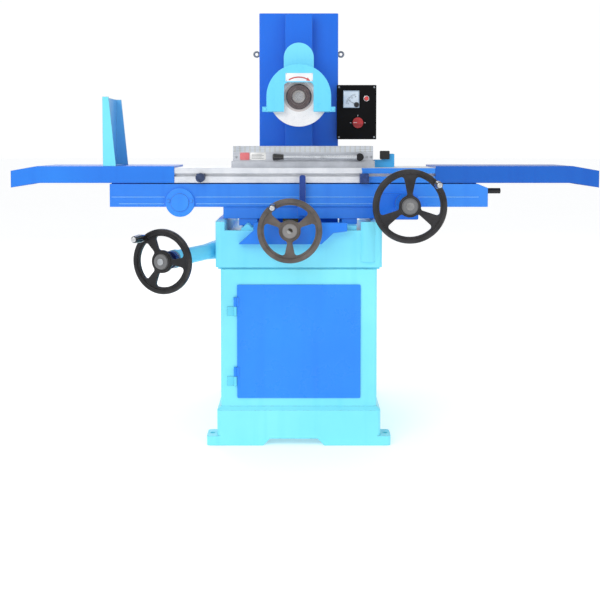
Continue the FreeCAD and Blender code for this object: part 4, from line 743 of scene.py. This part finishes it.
# ---- Cross feed ----
# A bracket bolted under the bed's front carries the cross screw, which draws the saddle in and
# out. Its cast wheel is left in bare, oiled grey iron, with a black bakelite grip.
finish_nodes(enamel("azure_bracket", (34, 138, 248), (20, 112, 232), 0.9, 0.3, 0.5), "cross_feed_bracket")
cross_low, cross_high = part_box("cross_feed_screw")
cross_axis = ((cross_low.x + cross_high.x) / 2, 0, (cross_low.z + cross_high.z) / 2)
finish_nodes(threaded_steel("cross_screw", cross_axis, in_out, sideways, 0.005), "cross_feed_screw")


def wheel_iron(name, centre, axis, grip, colour, rim, hub, rubbed=(122, 118, 114), gloss=0.34):
    """A painted cast handwheel: turned rim polished by hands, and the grip pin's bright head."""
    material, tree, shader, where = new_finish(name)
    rings, turn = lathe_marks(tree, where, centre, axis, 0.0012)
    pebbles = noise_of(tree, where, 210.0, 3.0, 0.6)
    mottle = ramp_of(tree, noise_of(tree, where, 26.0, 4.0, 0.6), 0.35, 0.7, 0.0, 0.7)
    lighter = toned(colour, 1.25, 14)
    tone = blend_of(tree, mottle, colour, lighter)
    hub_share = ramp_of(tree, turn.outputs["Radius"], hub - 0.0015, hub, 1.0, 0.0)
    rim_share = ramp_of(tree, turn.outputs["Radius"], rim - 0.006, rim, 0.0, 0.55)
    patchy = ramp_of(tree, noise_of(tree, where, 18.0, 5.0, 0.7), 0.42, 0.66)
    rim_share = times(tree, rim_share, patchy)
    tone = blend_of(tree, times(tree, rim_share, 0.4), tone, rubbed)
    pin = axis_distance(tree, where, tuple(grip), axis)
    pin_near = ramp_of(tree, pin.outputs["Radius"], 0.0088, 0.0094, 1.0, 0.0)
    pin_out = ramp_of(tree, pin.outputs["Along"], -0.001, 0.0, 1.0, 0.0)
    bright = times(tree, pin_near, pin_out)
    tone = blend_of(
        tree, maths(tree, "MAXIMUM", bright, times(tree, hub_share, 0.25)), tone, (205, 206, 208)
    )
    edges = edge_wear(tree, where, 0.0014, 70.0, 0.5)
    tone = blend_of(tree, times(tree, edges.outputs["Mask"], 0.6), tone, rubbed)
    metal = maths(tree, "MAXIMUM", bright, times(tree, rim_share, 0.6))
    rough = minus(tree, gloss, times(tree, metal, 0.14))
    height = plus(tree, pebbles, times(tree, rings, 0.05))
    normal = bump_of(tree, height, 0.00025, edges.outputs["Normal"])
    feed(
        tree, shader, Base_Color=tone, Roughness=rough, Metallic=metal, Normal=normal,
        Specular_IOR_Level=0.22, Coat_Weight=0.05,
    )
    return material


def grip_centre(node):
    low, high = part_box(node)
    return (low + high) / 2


cross_centre = (cross_axis[0], -0.43, cross_axis[2])
finish_nodes(
    wheel_iron(
        "cross_wheel_iron", cross_centre, in_out, grip_centre("cross_grip"), (84, 78, 74), 0.098, 0.024
    ),
    "cross_handwheel",
)
wheel_middle = grip_centre("elevation_dial") + shaft_line * 0.045
finish_nodes(
    wheel_iron(
        "elevation_wheel_iron",
        tuple(wheel_middle),
        tuple(-shaft_line),
        grip_centre("elevation_grip"),
        (26, 26, 28),
        0.094,
        0.024,
    ),
    "elevation_handwheel",
)
bakelite = plastic("black_bakelite", (20, 19, 20), (34, 32, 32), 0.16, 420.0, 0.6)
finish_nodes(bakelite, "cross_grip", "elevation_grip", "chuck_lever_knob")


# ---- Saddle ----
# The long beam that carries the table is an iron casting in bright blue, with a bored boss for
# the pinion at the right, a cover over the spare bore at the left and a rubber stop at one end.
saddle_blue = ((54, 140, 240), (24, 110, 226))
finish_nodes(enamel("bright_casting", *saddle_blue, 0.9, 0.3, 0.44), "saddle")
finish_nodes(enamel("bright_cover", (60, 150, 250), (36, 124, 234), 0.4, 0.28, 0.5), "bore_cover")
finish_nodes(enamel("bright_block", (30, 120, 236), (18, 96, 214), 0.8, 0.3, 0.5), "pinion_bearing_block")
rubber = plastic("black_rubber", (24, 24, 24), (38, 37, 36), 0.62, 300.0, 0.0, 0.00008)
finish_nodes(rubber, "end_buffer")


def bevelled_plate(low, high, edge):
    """A block with all its edges eased."""
    shape = bmesh.new()
    bmesh.ops.create_cube(shape, size=1.0)
    size = Vector(high) - Vector(low)
    bmesh.ops.scale(shape, vec=size, verts=shape.verts)
    bmesh.ops.translate(shape, vec=(Vector(low) + Vector(high)) / 2, verts=shape.verts)
    bmesh.ops.bevel(shape, geom=shape.edges[:], offset=edge, segments=2, profile=0.5, affect="EDGES")
    return shape


def joined(shapes):
    """Several shapes as one, kept as separate shells."""
    whole = bmesh.new()
    for shape in shapes:
        held = bpy.data.meshes.new("held")
        shape.to_mesh(held)
        shape.free()
        whole.from_mesh(held)
        bpy.data.meshes.remove(held)
    return whole


# two planed beads run along the beam's front, where its halves were machined; they are painted a lighter blue
# as a painted highlight
saddle_low, saddle_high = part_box("saddle")
bead_front = saddle_low.y - 0.0016
bead_spans = [
    (0.7925, saddle_low.x + 0.006, -0.436), (0.7925, -0.336, 0.246), (0.7925, 0.388, saddle_high.x - 0.03)
]
bead_spans += [(0.7705, saddle_low.x + 0.03, -0.437), (0.7705, -0.335, 0.246)]
beads = []
for bead_z, bead_start, bead_end in bead_spans:
    low, high = (bead_start, bead_front, bead_z - 0.0014), (bead_end, saddle_low.y + 0.001, bead_z + 0.0014)
    beads.append(bevelled_plate(low, high, 0.0006))
bead_highlight_finish = enamel("bead_blue_painted_highlight", (104, 184, 254), (80, 160, 250), 0.2, 0.26, 0.7, (170, 200, 220))
mesh_piece("saddle_beads", joined(beads), bead_highlight_finish, "saddle")


# ---- Reversing lever ----
# A flat bar on a pin at the saddle's middle; the table's dogs push it over at each end.
finish_nodes(
    enamel(
        "lever_blue", (28, 66, 150), (20, 44, 110), 0.3, 0.28, 0.7, (150, 152, 150),
        ("Z", 0.767, (24, 116, 228), (18, 94, 206)),
    ),
    "reversing_lever",
)


# ---- Table drive ----
# The table's rack is driven by a pinion on the big handwheel's shaft at the right.
pinion_low, pinion_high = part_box("table_pinion_shaft")
pinion_axis = ((pinion_low.x + pinion_high.x) / 2, 0, (pinion_low.z + pinion_high.z) / 2)
finish_nodes(turned_steel("pinion_steel", pinion_axis, in_out, (160, 160, 160), 0.3), "table_pinion_shaft")
finish_nodes(
    wheel_iron(
        "table_wheel_iron",
        (pinion_axis[0], -0.445, pinion_axis[2]),
        in_out,
        grip_centre("table_grip"),
        (38, 37, 39),
        0.112,
        0.026,
    ),
    "table_handwheel",
)
finish_nodes(plastic("worn_bakelite", (66, 62, 60), (96, 90, 84), 0.22, 380.0, 0.5), "table_grip")


# ---- Table ----
# The table is ground grey iron with a T-slot along its front for the dogs; its right front is
# painted. Sheet covers keep grit off the ways, and a bent sheet guard stands at the left.
def ground_iron(name, colour, deep, gloss=0.32, metal=0.75, painted_from=None, paint=None, grain=(5, 700, 700)):
    """Surface-ground iron: fine lines along the stroke and faint stains."""
    material, tree, shader, where = new_finish(name)
    lines = noise_of(tree, stretched(tree, where, grain), 1.0, 3.0, 0.6)
    stains = ramp_of(tree, noise_of(tree, where, 16.0, 5.0, 0.6), 0.4, 0.72, 0.0, 0.7)
    tone = blend_of(tree, stains, colour, deep)
    tone = blend_of(tree, ramp_of(tree, lines, 0.35, 0.7, 0.0, 0.3), tone, deep)
    rough = plus(tree, ramp_of(tree, lines, 0.3, 0.7, -0.05, 0.1), gloss)
    rough = plus(tree, rough, times(tree, stains, 0.12))
    edges = edge_wear(tree, where, 0.0007, 60.0, 0.6)
    tone = blend_of(tree, times(tree, edges.outputs["Mask"], 0.5), tone, (236, 238, 240))
    metal_share = metal
    if painted_from is not None:
        across = add_node(tree, "ShaderNodeSeparateXYZ", {0: where})
        ragged = plus(
            tree, across.outputs[0], ramp_of(tree, noise_of(tree, where, 120.0), 0.3, 0.7, -0.0012, 0.0012)
        )
        coat = ramp_of(tree, ragged, painted_from - 0.0005, painted_from + 0.0005)
        strip_top, strip_face = 0.8864, -0.2618
        below = ramp_of(tree, across.outputs[2], strip_top - 0.0002, strip_top + 0.0002, 1.0, 0.0)
        front = ramp_of(tree, across.outputs[1], strip_face - 0.0002, strip_face + 0.0002, 1.0, 0.0)
        coat = times(tree, coat, times(tree, below, front))
        skin = sprayed(tree, where, paint_chart(*paint[0]), paint_chart(*paint[1]), 0.3, 0.28)
        tone = blend_of(tree, coat, tone, skin.outputs["Colour"])
        metal_share = ramp_of(tree, coat, 0.0, 1.0, metal, 0.0)
    normal = bump_of(tree, lines, 0.00003, edges.outputs["Normal"])
    feed(tree, shader, Base_Color=tone, Roughness=rough, Normal=normal, Metallic=metal_share)
    return material


table_finish = ground_iron(
    "ground_table", (238, 240, 244), (198, 202, 210), 0.34, 0.35, 0.205, ((48, 140, 238), (30, 114, 224))
)
finish_nodes(table_finish, "table")
finish_nodes(ground_iron("rack_steel", (150, 150, 150), (104, 102, 98), 0.36, 0.9), "table_rack")
finish_nodes(enamel("left_cover_sheet", (34, 128, 232), (18, 106, 218), 0.15, 0.28, 0.46), "left_wing")
# the right cover sheet is the same enamel as the left, painted darker as painted shade
finish_nodes(enamel("right_cover_sheet_painted_shade", (4, 96, 196), (2, 78, 182), 0.15, 0.28, 0.46), "right_wing")
# the guard's side panel and rear flange are painted a darker blue as painted shade; the zone gives its front
# flange the cyan enamel
guard_shaded_blue = enamel(
    "guard_sheet_painted_shade",
    (112, 192, 240),
    (92, 172, 230),
    0.15,
    0.3,
    0.5,
    (96, 104, 110),
    ("Y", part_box("splash_guard")[0].y + 0.0042, (124, 226, 248), (96, 208, 238)),
)
finish_nodes(guard_shaded_blue, "splash_guard")


# ---- Magnetic chuck ----
# A ground steel box with a laminated pole plate, clamped along the table's middle slot. The
# lever on its right end turns the magnets; two small riveted plates sit at the left.
def pole_plate_finish():
    material, tree, shader, where = new_finish("pole_plate")
    along = add_node(tree, "ShaderNodeSeparateXYZ", {0: where})
    pitch = times(tree, along.outputs[0], 2 * math.pi / 0.0165)
    brass_share = ramp_of(tree, maths(tree, "SINE", pitch), 0.84, 0.9)
    lines = noise_of(tree, stretched(tree, where, (6, 800, 800)), 1.0, 3.0, 0.6)
    stains = ramp_of(tree, noise_of(tree, where, 20.0, 5.0), 0.42, 0.7, 0.0, 0.5)
    steel = blend_of(tree, stains, (206, 212, 220), (168, 174, 184))
    brass = blend_of(tree, stains, (196, 196, 188), (158, 158, 150))
    tone = blend_of(tree, brass_share, steel, brass)
    edges = edge_wear(tree, where, 0.0006, 70.0, 0.6)
    tone = blend_of(tree, times(tree, edges.outputs["Mask"], 0.5), tone, (240, 241, 242))
    rough = ramp_of(tree, lines, 0.3, 0.7, 0.24, 0.4)
    normal = bump_of(tree, lines, 0.00002, edges.outputs["Normal"])
    feed(tree, shader, Base_Color=tone, Roughness=rough, Normal=normal, Metallic=0.7)
    return material


finish_nodes(pole_plate_finish(), "chuck_pole_plate")
finish_nodes(ground_iron("chuck_body", (204, 208, 216), (160, 164, 172), 0.36, 0.4), "magnetic_chuck")
lever_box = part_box("chuck_lever")
lever_axis = (0.2, 0, (lever_box[0].z + lever_box[1].z) / 2)
finish_nodes(
    turned_steel("lever_steel", lever_axis, in_out, (206, 210, 216), 0.22, 0.0, 0.55, 0.189), "chuck_lever"
)

chuck_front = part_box("chuck_pole_plate")[0].y
label_bottom, label_top = 0.9115, 0.9365
rose_plate = plastic("rose_plate", (226, 120, 124), (204, 92, 100), 0.3, 260.0, 0.3)
silver_plate = ground_iron("silver_plate", (236, 236, 234), (204, 206, 208), 0.3, 0.3)
plates = [("rose_label", -0.194, -0.1625, rose_plate), ("silver_label", -0.1605, -0.108, silver_plate)]
for label_name, label_left, label_right, label_finish in plates:
    sheet_low = (label_left, chuck_front - 0.0008, label_bottom)
    sheet_high = (label_right, chuck_front + 0.0002, label_top)
    mesh_piece(
        label_name, bevelled_plate(sheet_low, sheet_high, 0.0003), label_finish, "table"
    )
rivet_heights = (label_bottom + 0.002, label_top - 0.002)
rivet_points = face_points((-0.192, -0.1645, -0.1585, -0.110), chuck_front - 0.0012, rivet_heights)
screws(
    "label_rivets", rivet_points, 0.0011, 0.0008, toward_front, small_screw_steel, "table",
    5, -0.2,
)
grey_ink = plastic("grey_ink", (70, 74, 82), (96, 100, 108), 0.5, 300.0, 0.0)
ruled_lines = []
for row in range(4):
    line_z = label_top - 0.006 - row * 0.0045
    line_end = -0.116 if row % 2 else -0.122
    ruled_lines.append(
        bevelled_plate(
            (-0.155, chuck_front - 0.001, line_z), (line_end, chuck_front - 0.0007, line_z + 0.0011), 0.0001
        )
    )
mesh_piece("silver_label_rules", joined(ruled_lines), grey_ink, "table")
chuck_screw_points = face_points((0.224, 0.239, -0.206), chuck_front, (0.922,))
screws(
    "chuck_screws", chuck_screw_points, 0.0042, 0.0024, toward_front, small_screw_steel, "table",
    8,
)


# ---- Dogs and work stop ----
# The dogs are clamped in the table's front slot. The stop is a painted block beside the chuck
# with a black pad that the work is set against.
finish_nodes(dark_steel("round_dog_steel", (56, 66, 92), 0.34), "left_trip_dog")
finish_nodes(dark_steel("square_dog_steel", (40, 60, 110), 0.36, 90.0, 0.5), "right_trip_dog")
finish_nodes(enamel("stop_cyan", (70, 178, 240), (46, 150, 228), 0.4, 0.3, 0.55), "work_stop")
finish_nodes(rubber, "stop_pad")


# ---- Wheel head ----
# The head slides on the column's way. Its arched housing holds the motor over the spindle,
# joined by a flat belt behind a plain cover, all in sky blue enamel.
sky_blue = ((120, 220, 248), (94, 200, 240))
finish_nodes(enamel("sky_casting", *sky_blue, 0.6, 0.28, 0.42), "wheel_head")
finish_nodes(enamel("sky_cover", (124, 222, 248), (98, 206, 240), 0.3, 0.26, 0.42), "belt_cover")
motor_axis = (0, 0, 1.257)
finish_nodes(turned_steel("motor_shell", motor_axis, in_out, (150, 152, 154), 0.42, 0.0, 0.6), "motor_body")
finish_nodes(turned_steel("rotor_steel", motor_axis, in_out, (140, 140, 142), 0.32), "motor_rotor")


def belt_finish():
    material, tree, shader, where = new_finish("ribbed_belt")
    depth = part_of(tree, where, 1)
    ribs = maths(tree, "SINE", times(tree, depth, 2 * math.pi / 0.0024))
    worn = ramp_of(tree, noise_of(tree, where, 80.0, 4.0), 0.4, 0.7)
    tone = blend_of(tree, worn, (26, 26, 27), (48, 47, 46))
    rough = ramp_of(tree, worn, 0.0, 1.0, 0.55, 0.72)
    still = surface_normal(tree)
    feed(tree, shader, Base_Color=tone, Roughness=rough, Normal=bump_of(tree, ribs, 0.0002, still))
    return material


finish_nodes(belt_finish(), "drive_belt")


# ---- Spindle and grinding wheel ----
# A white aluminium oxide wheel is held between two steel flanges with paper washers, by a
# nut on the spindle's nose. The bearings are a bought pair.
spindle_z = (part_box("grinding_wheel")[0].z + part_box("grinding_wheel")[1].z) / 2
spindle_axis = (0, 0, spindle_z)
finish_nodes(turned_steel("spindle_steel", spindle_axis, in_out, (180, 182, 186), 0.2), "spindle_shaft")
finish_nodes(turned_steel("bearing_steel", spindle_axis, in_out, (190, 192, 194), 0.18), "spindle_bearings")
finish_nodes(turned_steel("nut_steel", spindle_axis, in_out, (176, 172, 170), 0.26, 0.0, 0.7), "wheel_nut")


def flange_finish():
    material, tree, shader, where = new_finish("wheel_flange")
    rings, turn = lathe_marks(tree, where, spindle_axis, in_out, 0.0009)
    rim = ramp_of(tree, turn.outputs["Radius"], 0.0205, 0.0212)
    inner = ramp_of(tree, turn.outputs["Radius"], 0.0175, 0.0182)
    band = minus(tree, inner, rim)
    mottle = ramp_of(tree, noise_of(tree, where, 70.0, 4.0), 0.38, 0.7, 0.0, 0.6)
    dark = blend_of(tree, mottle, (92, 82, 84), (122, 110, 110))
    tone = blend_of(tree, band, dark, (196, 194, 196))
    edges = edge_wear(tree, where, 0.0008, 80.0, 0.6)
    tone = blend_of(tree, edges.outputs["Mask"], tone, (200, 200, 202))
    rough = plus(tree, times(tree, rings, 0.05), 0.3)
    feed(
        tree, shader, Base_Color=tone, Roughness=rough, Normal=bump_of(
            tree, rings, 0.00002, edges.outputs["Normal"]
        ),
        Metallic=0.55,
    )
    return material


finish_nodes(flange_finish(), "wheel_flanges")


def abrasive_finish():
    """Open, gritty aluminium oxide: pale grains, dark pores and a loaded grey rim."""
    material, tree, shader, where = new_finish("white_abrasive")
    grit = add_node(tree, "ShaderNodeTexVoronoi", {"Vector": where, "Scale": 620.0}).outputs["Distance"]
    pores = ramp_of(tree, noise_of(tree, where, 520.0, 3.0, 0.7), 0.58, 0.66)
    clouds = ramp_of(tree, noise_of(tree, where, 26.0, 4.0), 0.35, 0.7, 0.0, 0.6)
    tone = blend_of(tree, clouds, (247, 247, 248), (232, 234, 238))
    tone = blend_of(tree, times(tree, pores, 0.4), tone, (168, 168, 172))
    turn = axis_distance(tree, where, spindle_axis, in_out)
    loaded = ramp_of(tree, turn.outputs["Radius"], 0.0985, 0.0998, 0.0, 0.35)
    tone = blend_of(tree, loaded, tone, (176, 176, 178))
    height = minus(tree, grit, pores)
    edges = edge_wear(tree, where, 0.0007, 60.0, 0.2)
    normal = bump_of(tree, height, 0.00035, edges.outputs["Normal"])
    feed(tree, shader, Base_Color=tone, Normal=normal, Roughness=0.9)
    return material


finish_nodes(abrasive_finish(), "grinding_wheel")


def paper_finish():
    material, tree, shader, where = new_finish("blotting_paper")
    fibre = noise_of(tree, where, 480.0, 5.0, 0.7)
    tone = blend_of(tree, ramp_of(tree, fibre, 0.35, 0.7), (214, 206, 204), (186, 178, 178))
    still = surface_normal(tree)
    feed(tree, shader, Base_Color=tone, Normal=bump_of(tree, fibre, 0.0001, still), Roughness=0.85)
    return material


wheel_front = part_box("grinding_wheel")[0].y
washer_profile = [
    (0.0423, 0.0), (0.0423, 0.0005), (0.0500, 0.0005), (0.0504, 0.0002), (0.0504, 0.0), (0.0423, 0.0)
]
washer_shape = lathe(washer_profile, 96)
bmesh.ops.remove_doubles(washer_shape, verts=washer_shape.verts, dist=0.00001)
washer_shape.transform(facing_front(0, wheel_front, spindle_z))
mesh_piece("paper_washer", washer_shape, paper_finish(), "spindle")


# ---- Wheel guard ----
# A welded sheet guard wraps the wheel and its front plate carries a riveted direction plate:
# a bent arrow in red on white.
guard_aqua = ((118, 218, 250), (90, 200, 242))
finish_nodes(enamel("aqua_guard", *guard_aqua, 0.3, 0.26, 0.46), "wheel_guard")
finish_nodes(enamel("aqua_guard_front", (114, 218, 252), (94, 204, 244), 0.25, 0.26, 0.46), "guard_cover")
guard_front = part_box("guard_cover")[0].y + 0.004
plate_low, plate_high = (-0.044, guard_front - 0.0008, 1.1735), (0.047, guard_front + 0.0002, 1.2005)
plate_white = plastic("plate_white", (240, 243, 246), (222, 227, 232), 0.28, 240.0, 0.4)
mesh_piece(
    "direction_plate", bevelled_plate(plate_low, plate_high, 0.0003), plate_white, "head"
)


def arrow_band(radius, width, start, end, thick, steps=28):
    """A flat curved arrow about the origin in XY, from a start to an end angle."""
    shape = bmesh.new()
    inner, outer = radius - width / 2, radius + width / 2
    outline = []
    for step in range(steps + 1):
        turn = start + (end - start) * step / steps
        outline.append((inner * math.cos(turn), inner * math.sin(turn)))
    point_turn = end + (end - start) * 0.22
    outline.append(((inner - width * 0.8) * math.cos(end), (inner - width * 0.8) * math.sin(end)))
    outline.append((radius * math.cos(point_turn), radius * math.sin(point_turn)))
    outline.append(((outer + width * 0.8) * math.cos(end), (outer + width * 0.8) * math.sin(end)))
    for step in reversed(range(steps + 1)):
        turn = start + (end - start) * step / steps
        outline.append((outer * math.cos(turn), outer * math.sin(turn)))
    lower = [shape.verts.new((x, y, 0)) for x, y in outline]
    upper = [shape.verts.new((x, y, thick)) for x, y in outline]
    shape.faces.new(lower)
    shape.faces.new(upper)
    for corner in range(len(outline)):
        after = (corner + 1) % len(outline)
        shape.faces.new([lower[corner], lower[after], upper[after], upper[corner]])
    shape.normal_update()
    bmesh.ops.triangulate(shape, faces=shape.faces[:])
    return shape


arrow_shape = arrow_band(0.064, 0.0042, math.radians(121), math.radians(65), 0.0004)
arrow_shape.transform(facing_front(0, guard_front - 0.0007, spindle_z))
arrow_red = plastic("arrow_red", (206, 88, 84), (184, 66, 66), 0.34, 260.0, 0.2)
mesh_piece("direction_arrow", arrow_shape, arrow_red, "head", smooth=False)
plate_corners = face_points((-0.0415, 0.0445), guard_front - 0.0012, (1.176, 1.198))
screws(
    "plate_rivets", plate_corners, 0.0013, 0.0009, toward_front, small_screw_steel, "head",
    6, -0.2,
)


# ---- Control box ----
# A black crackle box with a flat black panel: a moving-iron ammeter with its pivot in the lower
# right corner, a red lamp and a red rotary switch, held by four screws.
def crackle_black(name, colour=(20, 20, 22), depth=0.0002):
    material, tree, shader, where = new_finish(name)
    cells = add_node(tree, "ShaderNodeTexVoronoi", {"Vector": where, "Scale": 420.0}, feature="SMOOTH_F1")
    haze = ramp_of(tree, noise_of(tree, where, 14.0, 4.0), 0.38, 0.72, 0.0, 0.5)
    lighter = toned(colour, 1.7, 8)
    tone = blend_of(tree, haze, colour, lighter)
    edges = edge_wear(tree, where, 0.001, 70.0, 0.45)
    tone = blend_of(tree, times(tree, edges.outputs["Mask"], 0.6), tone, (120, 120, 122))
    rough = plus(tree, times(tree, haze, 0.2), 0.42)
    normal = bump_of(tree, cells.outputs["Distance"], depth, edges.outputs["Normal"])
    feed(tree, shader, Base_Color=tone, Roughness=rough, Normal=normal, Specular_IOR_Level=0.12)
    return material


finish_nodes(crackle_black("crackle_box", (16, 16, 19), 0.0004), "control_box")
finish_nodes(crackle_black("satin_panel", (8, 8, 10), 0.00008), "control_panel")
panel_low, panel_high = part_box("control_panel")
inset = 0.008
panel_across, panel_up = (panel_low.x + inset, panel_high.x - inset), (
    panel_low.z + inset, panel_high.z - inset
)
panel_screw_points = face_points(panel_across, panel_low.y, panel_up)
screws(
    "panel_screws", panel_screw_points, 0.0036, 0.002, toward_front, small_screw_steel, "frame",
    2,
)

meter_low, meter_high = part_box("ammeter")
finish_nodes(plastic("meter_case", (44, 48, 56), (60, 64, 72), 0.2, 300.0, 0.6), "ammeter")
meter_face_low = (meter_low.x + 0.0025, meter_low.y - 0.0006, meter_low.z + 0.0025)
meter_face_high = (meter_high.x - 0.0025, meter_low.y + 0.0004, meter_high.z - 0.0025)
meter_white = plastic("meter_face_white", (226, 236, 246), (204, 218, 234), 0.3, 200.0, 0.5)
mesh_piece(
    "meter_face", bevelled_plate(meter_face_low, meter_face_high, 0.0002), meter_white, "frame"
)
pivot_x, pivot_z = meter_high.x - 0.010, meter_low.z + 0.011
face_y = meter_face_low[1]
ink_black = plastic("dial_ink", (18, 18, 20), (32, 32, 34), 0.4, 300.0, 0.0)
dial_place = facing_front(pivot_x, face_y + 0.0002, pivot_z)
scale_lines(
    "meter_scale",
    31,
    0.0385,
    math.radians(98),
    math.radians(74),
    (0.0028, 0.00035, 0.0004),
    (0.0048, 0.0006, 0.0004),
    5,
    ink_black,
    "frame",
    dial_place,
)
arc_shape = lathe([(0.0332, 0.0), (0.0332, 0.0004), (0.0337, 0.0004), (0.0337, 0.0)], 160)
kept_arc = [vert for vert in arc_shape.verts if not 95 <= math.degrees(math.atan2(vert.co.y, vert.co.x)) <= 175]
bmesh.ops.delete(arc_shape, geom=kept_arc, context="VERTS")
arc_shape.transform(dial_place)
mesh_piece("meter_scale_arc", arc_shape, ink_black, "frame", smooth=False)


def number_mesh(text, size, place):
    """A generic dial number as a thin raised mesh."""
    letters = bpy.data.curves.new("number", "FONT")
    letters.body = text
    letters.size = size
    letters.extrude = 0.0001
    letters.align_x = "CENTER"
    letters.align_y = "CENTER"
    letters.resolution_u = 3
    holder = put_in_scene("number", letters)
    state = bpy.context.evaluated_depsgraph_get()
    mesh = bpy.data.meshes.new_from_object(holder.evaluated_get(state), depsgraph=state)
    bpy.data.objects.remove(holder)
    mesh.transform(place)
    shape = bmesh.new()
    shape.from_mesh(mesh)
    bpy.data.meshes.remove(mesh)
    return shape


numbers = []
for step, text in enumerate(("30", "20", "10", "0")):
    turn = math.radians(98 + 74 * step / 3)
    spot = Matrix.Translation((0.0285 * math.cos(turn), 0.0285 * math.sin(turn), 0.0002))
    numbers.append(number_mesh(text, 0.0062, dial_place @ spot))
mesh_piece("meter_numbers", joined(numbers), ink_black, "frame", smooth=False)
needle_turn = math.radians(152)
needle = bmesh.new()
needle_side = Vector((-math.sin(needle_turn), math.cos(needle_turn), 0))
needle_tip = Vector((math.cos(needle_turn), math.sin(needle_turn), 0)) * 0.036
needle_base = [needle_side * 0.0009, needle_side * -0.0009]
needle_rings = []
for lift in (0.0006, 0.0012):
    corners = [
        needle_base[0], needle_base[1], needle_tip - needle_side * 0.0002, needle_tip + needle_side * 0.0002
    ]
    needle_rings.append([needle.verts.new(corner + Vector((0, 0, lift))) for corner in corners])
needle.faces.new(list(reversed(needle_rings[0])))
needle.faces.new(needle_rings[1])
for corner in range(4):
    after = (corner + 1) % 4
    needle.faces.new(
        [needle_rings[0][corner], needle_rings[0][after], needle_rings[1][after], needle_rings[1][corner]]
    )
needle.transform(dial_place)
mesh_piece("meter_needle", needle, ink_black, "frame", smooth=False)
pivot_shape = lathe(
    [
        (0, 0.0030), (0.0030, 0.0030), (0.0034, 0.0026), (0.0082, 0.0024), (0.0092, 0.0014), (0.0092, 0.0),
        (0, 0.0),
    ]
)
pivot_shape.transform(facing_front(pivot_x, face_y, pivot_z))
mesh_piece("meter_pivot_cover", pivot_shape, ink_black, "frame")

rim_width, rim_lift = 0.0028, 0.0016
rim_bars = []
spans = [
    (meter_low.x, meter_high.x, meter_low.z, meter_low.z + rim_width),
    (meter_low.x, meter_high.x, meter_high.z - rim_width, meter_high.z),
    (meter_low.x, meter_low.x + rim_width, meter_low.z + rim_width, meter_high.z - rim_width),
    (meter_high.x - rim_width, meter_high.x, meter_low.z + rim_width, meter_high.z - rim_width),
]
for left, right, bottom, top in spans:
    rim_bars.append(
        bevelled_plate((left, meter_low.y - rim_lift, bottom), (right, meter_low.y + 0.0005, top), 0.0005)
    )
meter_rim_finish = plastic("meter_rim", (176, 192, 208), (150, 166, 186), 0.2, 260.0, 0.6)
mesh_piece("meter_rim", joined(rim_bars), meter_rim_finish, "frame")


def lamp_finish():
    """A red faceted lens in a bright bezel."""
    material, tree, shader, where = new_finish("red_lamp")
    low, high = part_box("pilot_lamp")
    centre = ((low.x + high.x) / 2, panel_low.y, (low.z + high.z) / 2)
    rings, turn = lathe_marks(tree, where, centre, in_out, 0.0016)
    lens = ramp_of(tree, turn.outputs["Radius"], 0.0076, 0.0079, 1.0, 0.0)
    glow = ramp_of(tree, noise_of(tree, where, 120.0, 3.0), 0.35, 0.7, 0.0, 0.6)
    red = blend_of(tree, glow, (226, 34, 40), (250, 92, 84))
    tone = blend_of(tree, lens, (196, 198, 200), red)
    metal = ramp_of(tree, lens, 0.0, 1.0, 1.0, 0.0)
    still = surface_normal(tree)
    rough = ramp_of(tree, lens, 0.0, 1.0, 0.25, 0.12)
    feed(
        tree, shader, Base_Color=tone, Metallic=metal, Roughness=rough, Normal=bump_of(
            tree, rings, 0.0001, still
        ),
        Coat_Weight=0.5,
    )
    return material


finish_nodes(lamp_finish(), "pilot_lamp")
finish_nodes(plastic("red_knob", (206, 28, 36), (178, 16, 26), 0.24, 300.0, 0.5), "selector_switch")
switch_low, switch_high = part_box("selector_switch")
switch_x, switch_z = (switch_low.x + switch_high.x) / 2, (switch_low.z + switch_high.z) / 2
pointer_low = (switch_x - 0.0165, switch_low.y - 0.0005, switch_z - 0.0008)
pointer_high = (switch_x - 0.004, switch_low.y + 0.0003, switch_z + 0.0008)
mesh_piece(
    "switch_pointer", bevelled_plate(pointer_low, pointer_high, 0.0002), white_fill, "switch",
)
scale_lines(
    "switch_marks",
    3,
    0.0285,
    0.0,
    math.pi,
    (0.0055, 0.0016, 0.0005),
    (0.0055, 0.0016, 0.0005),
    1,
    white_fill,
    "frame",
    facing_front(switch_x, panel_low.y + 0.0002, switch_z),
)
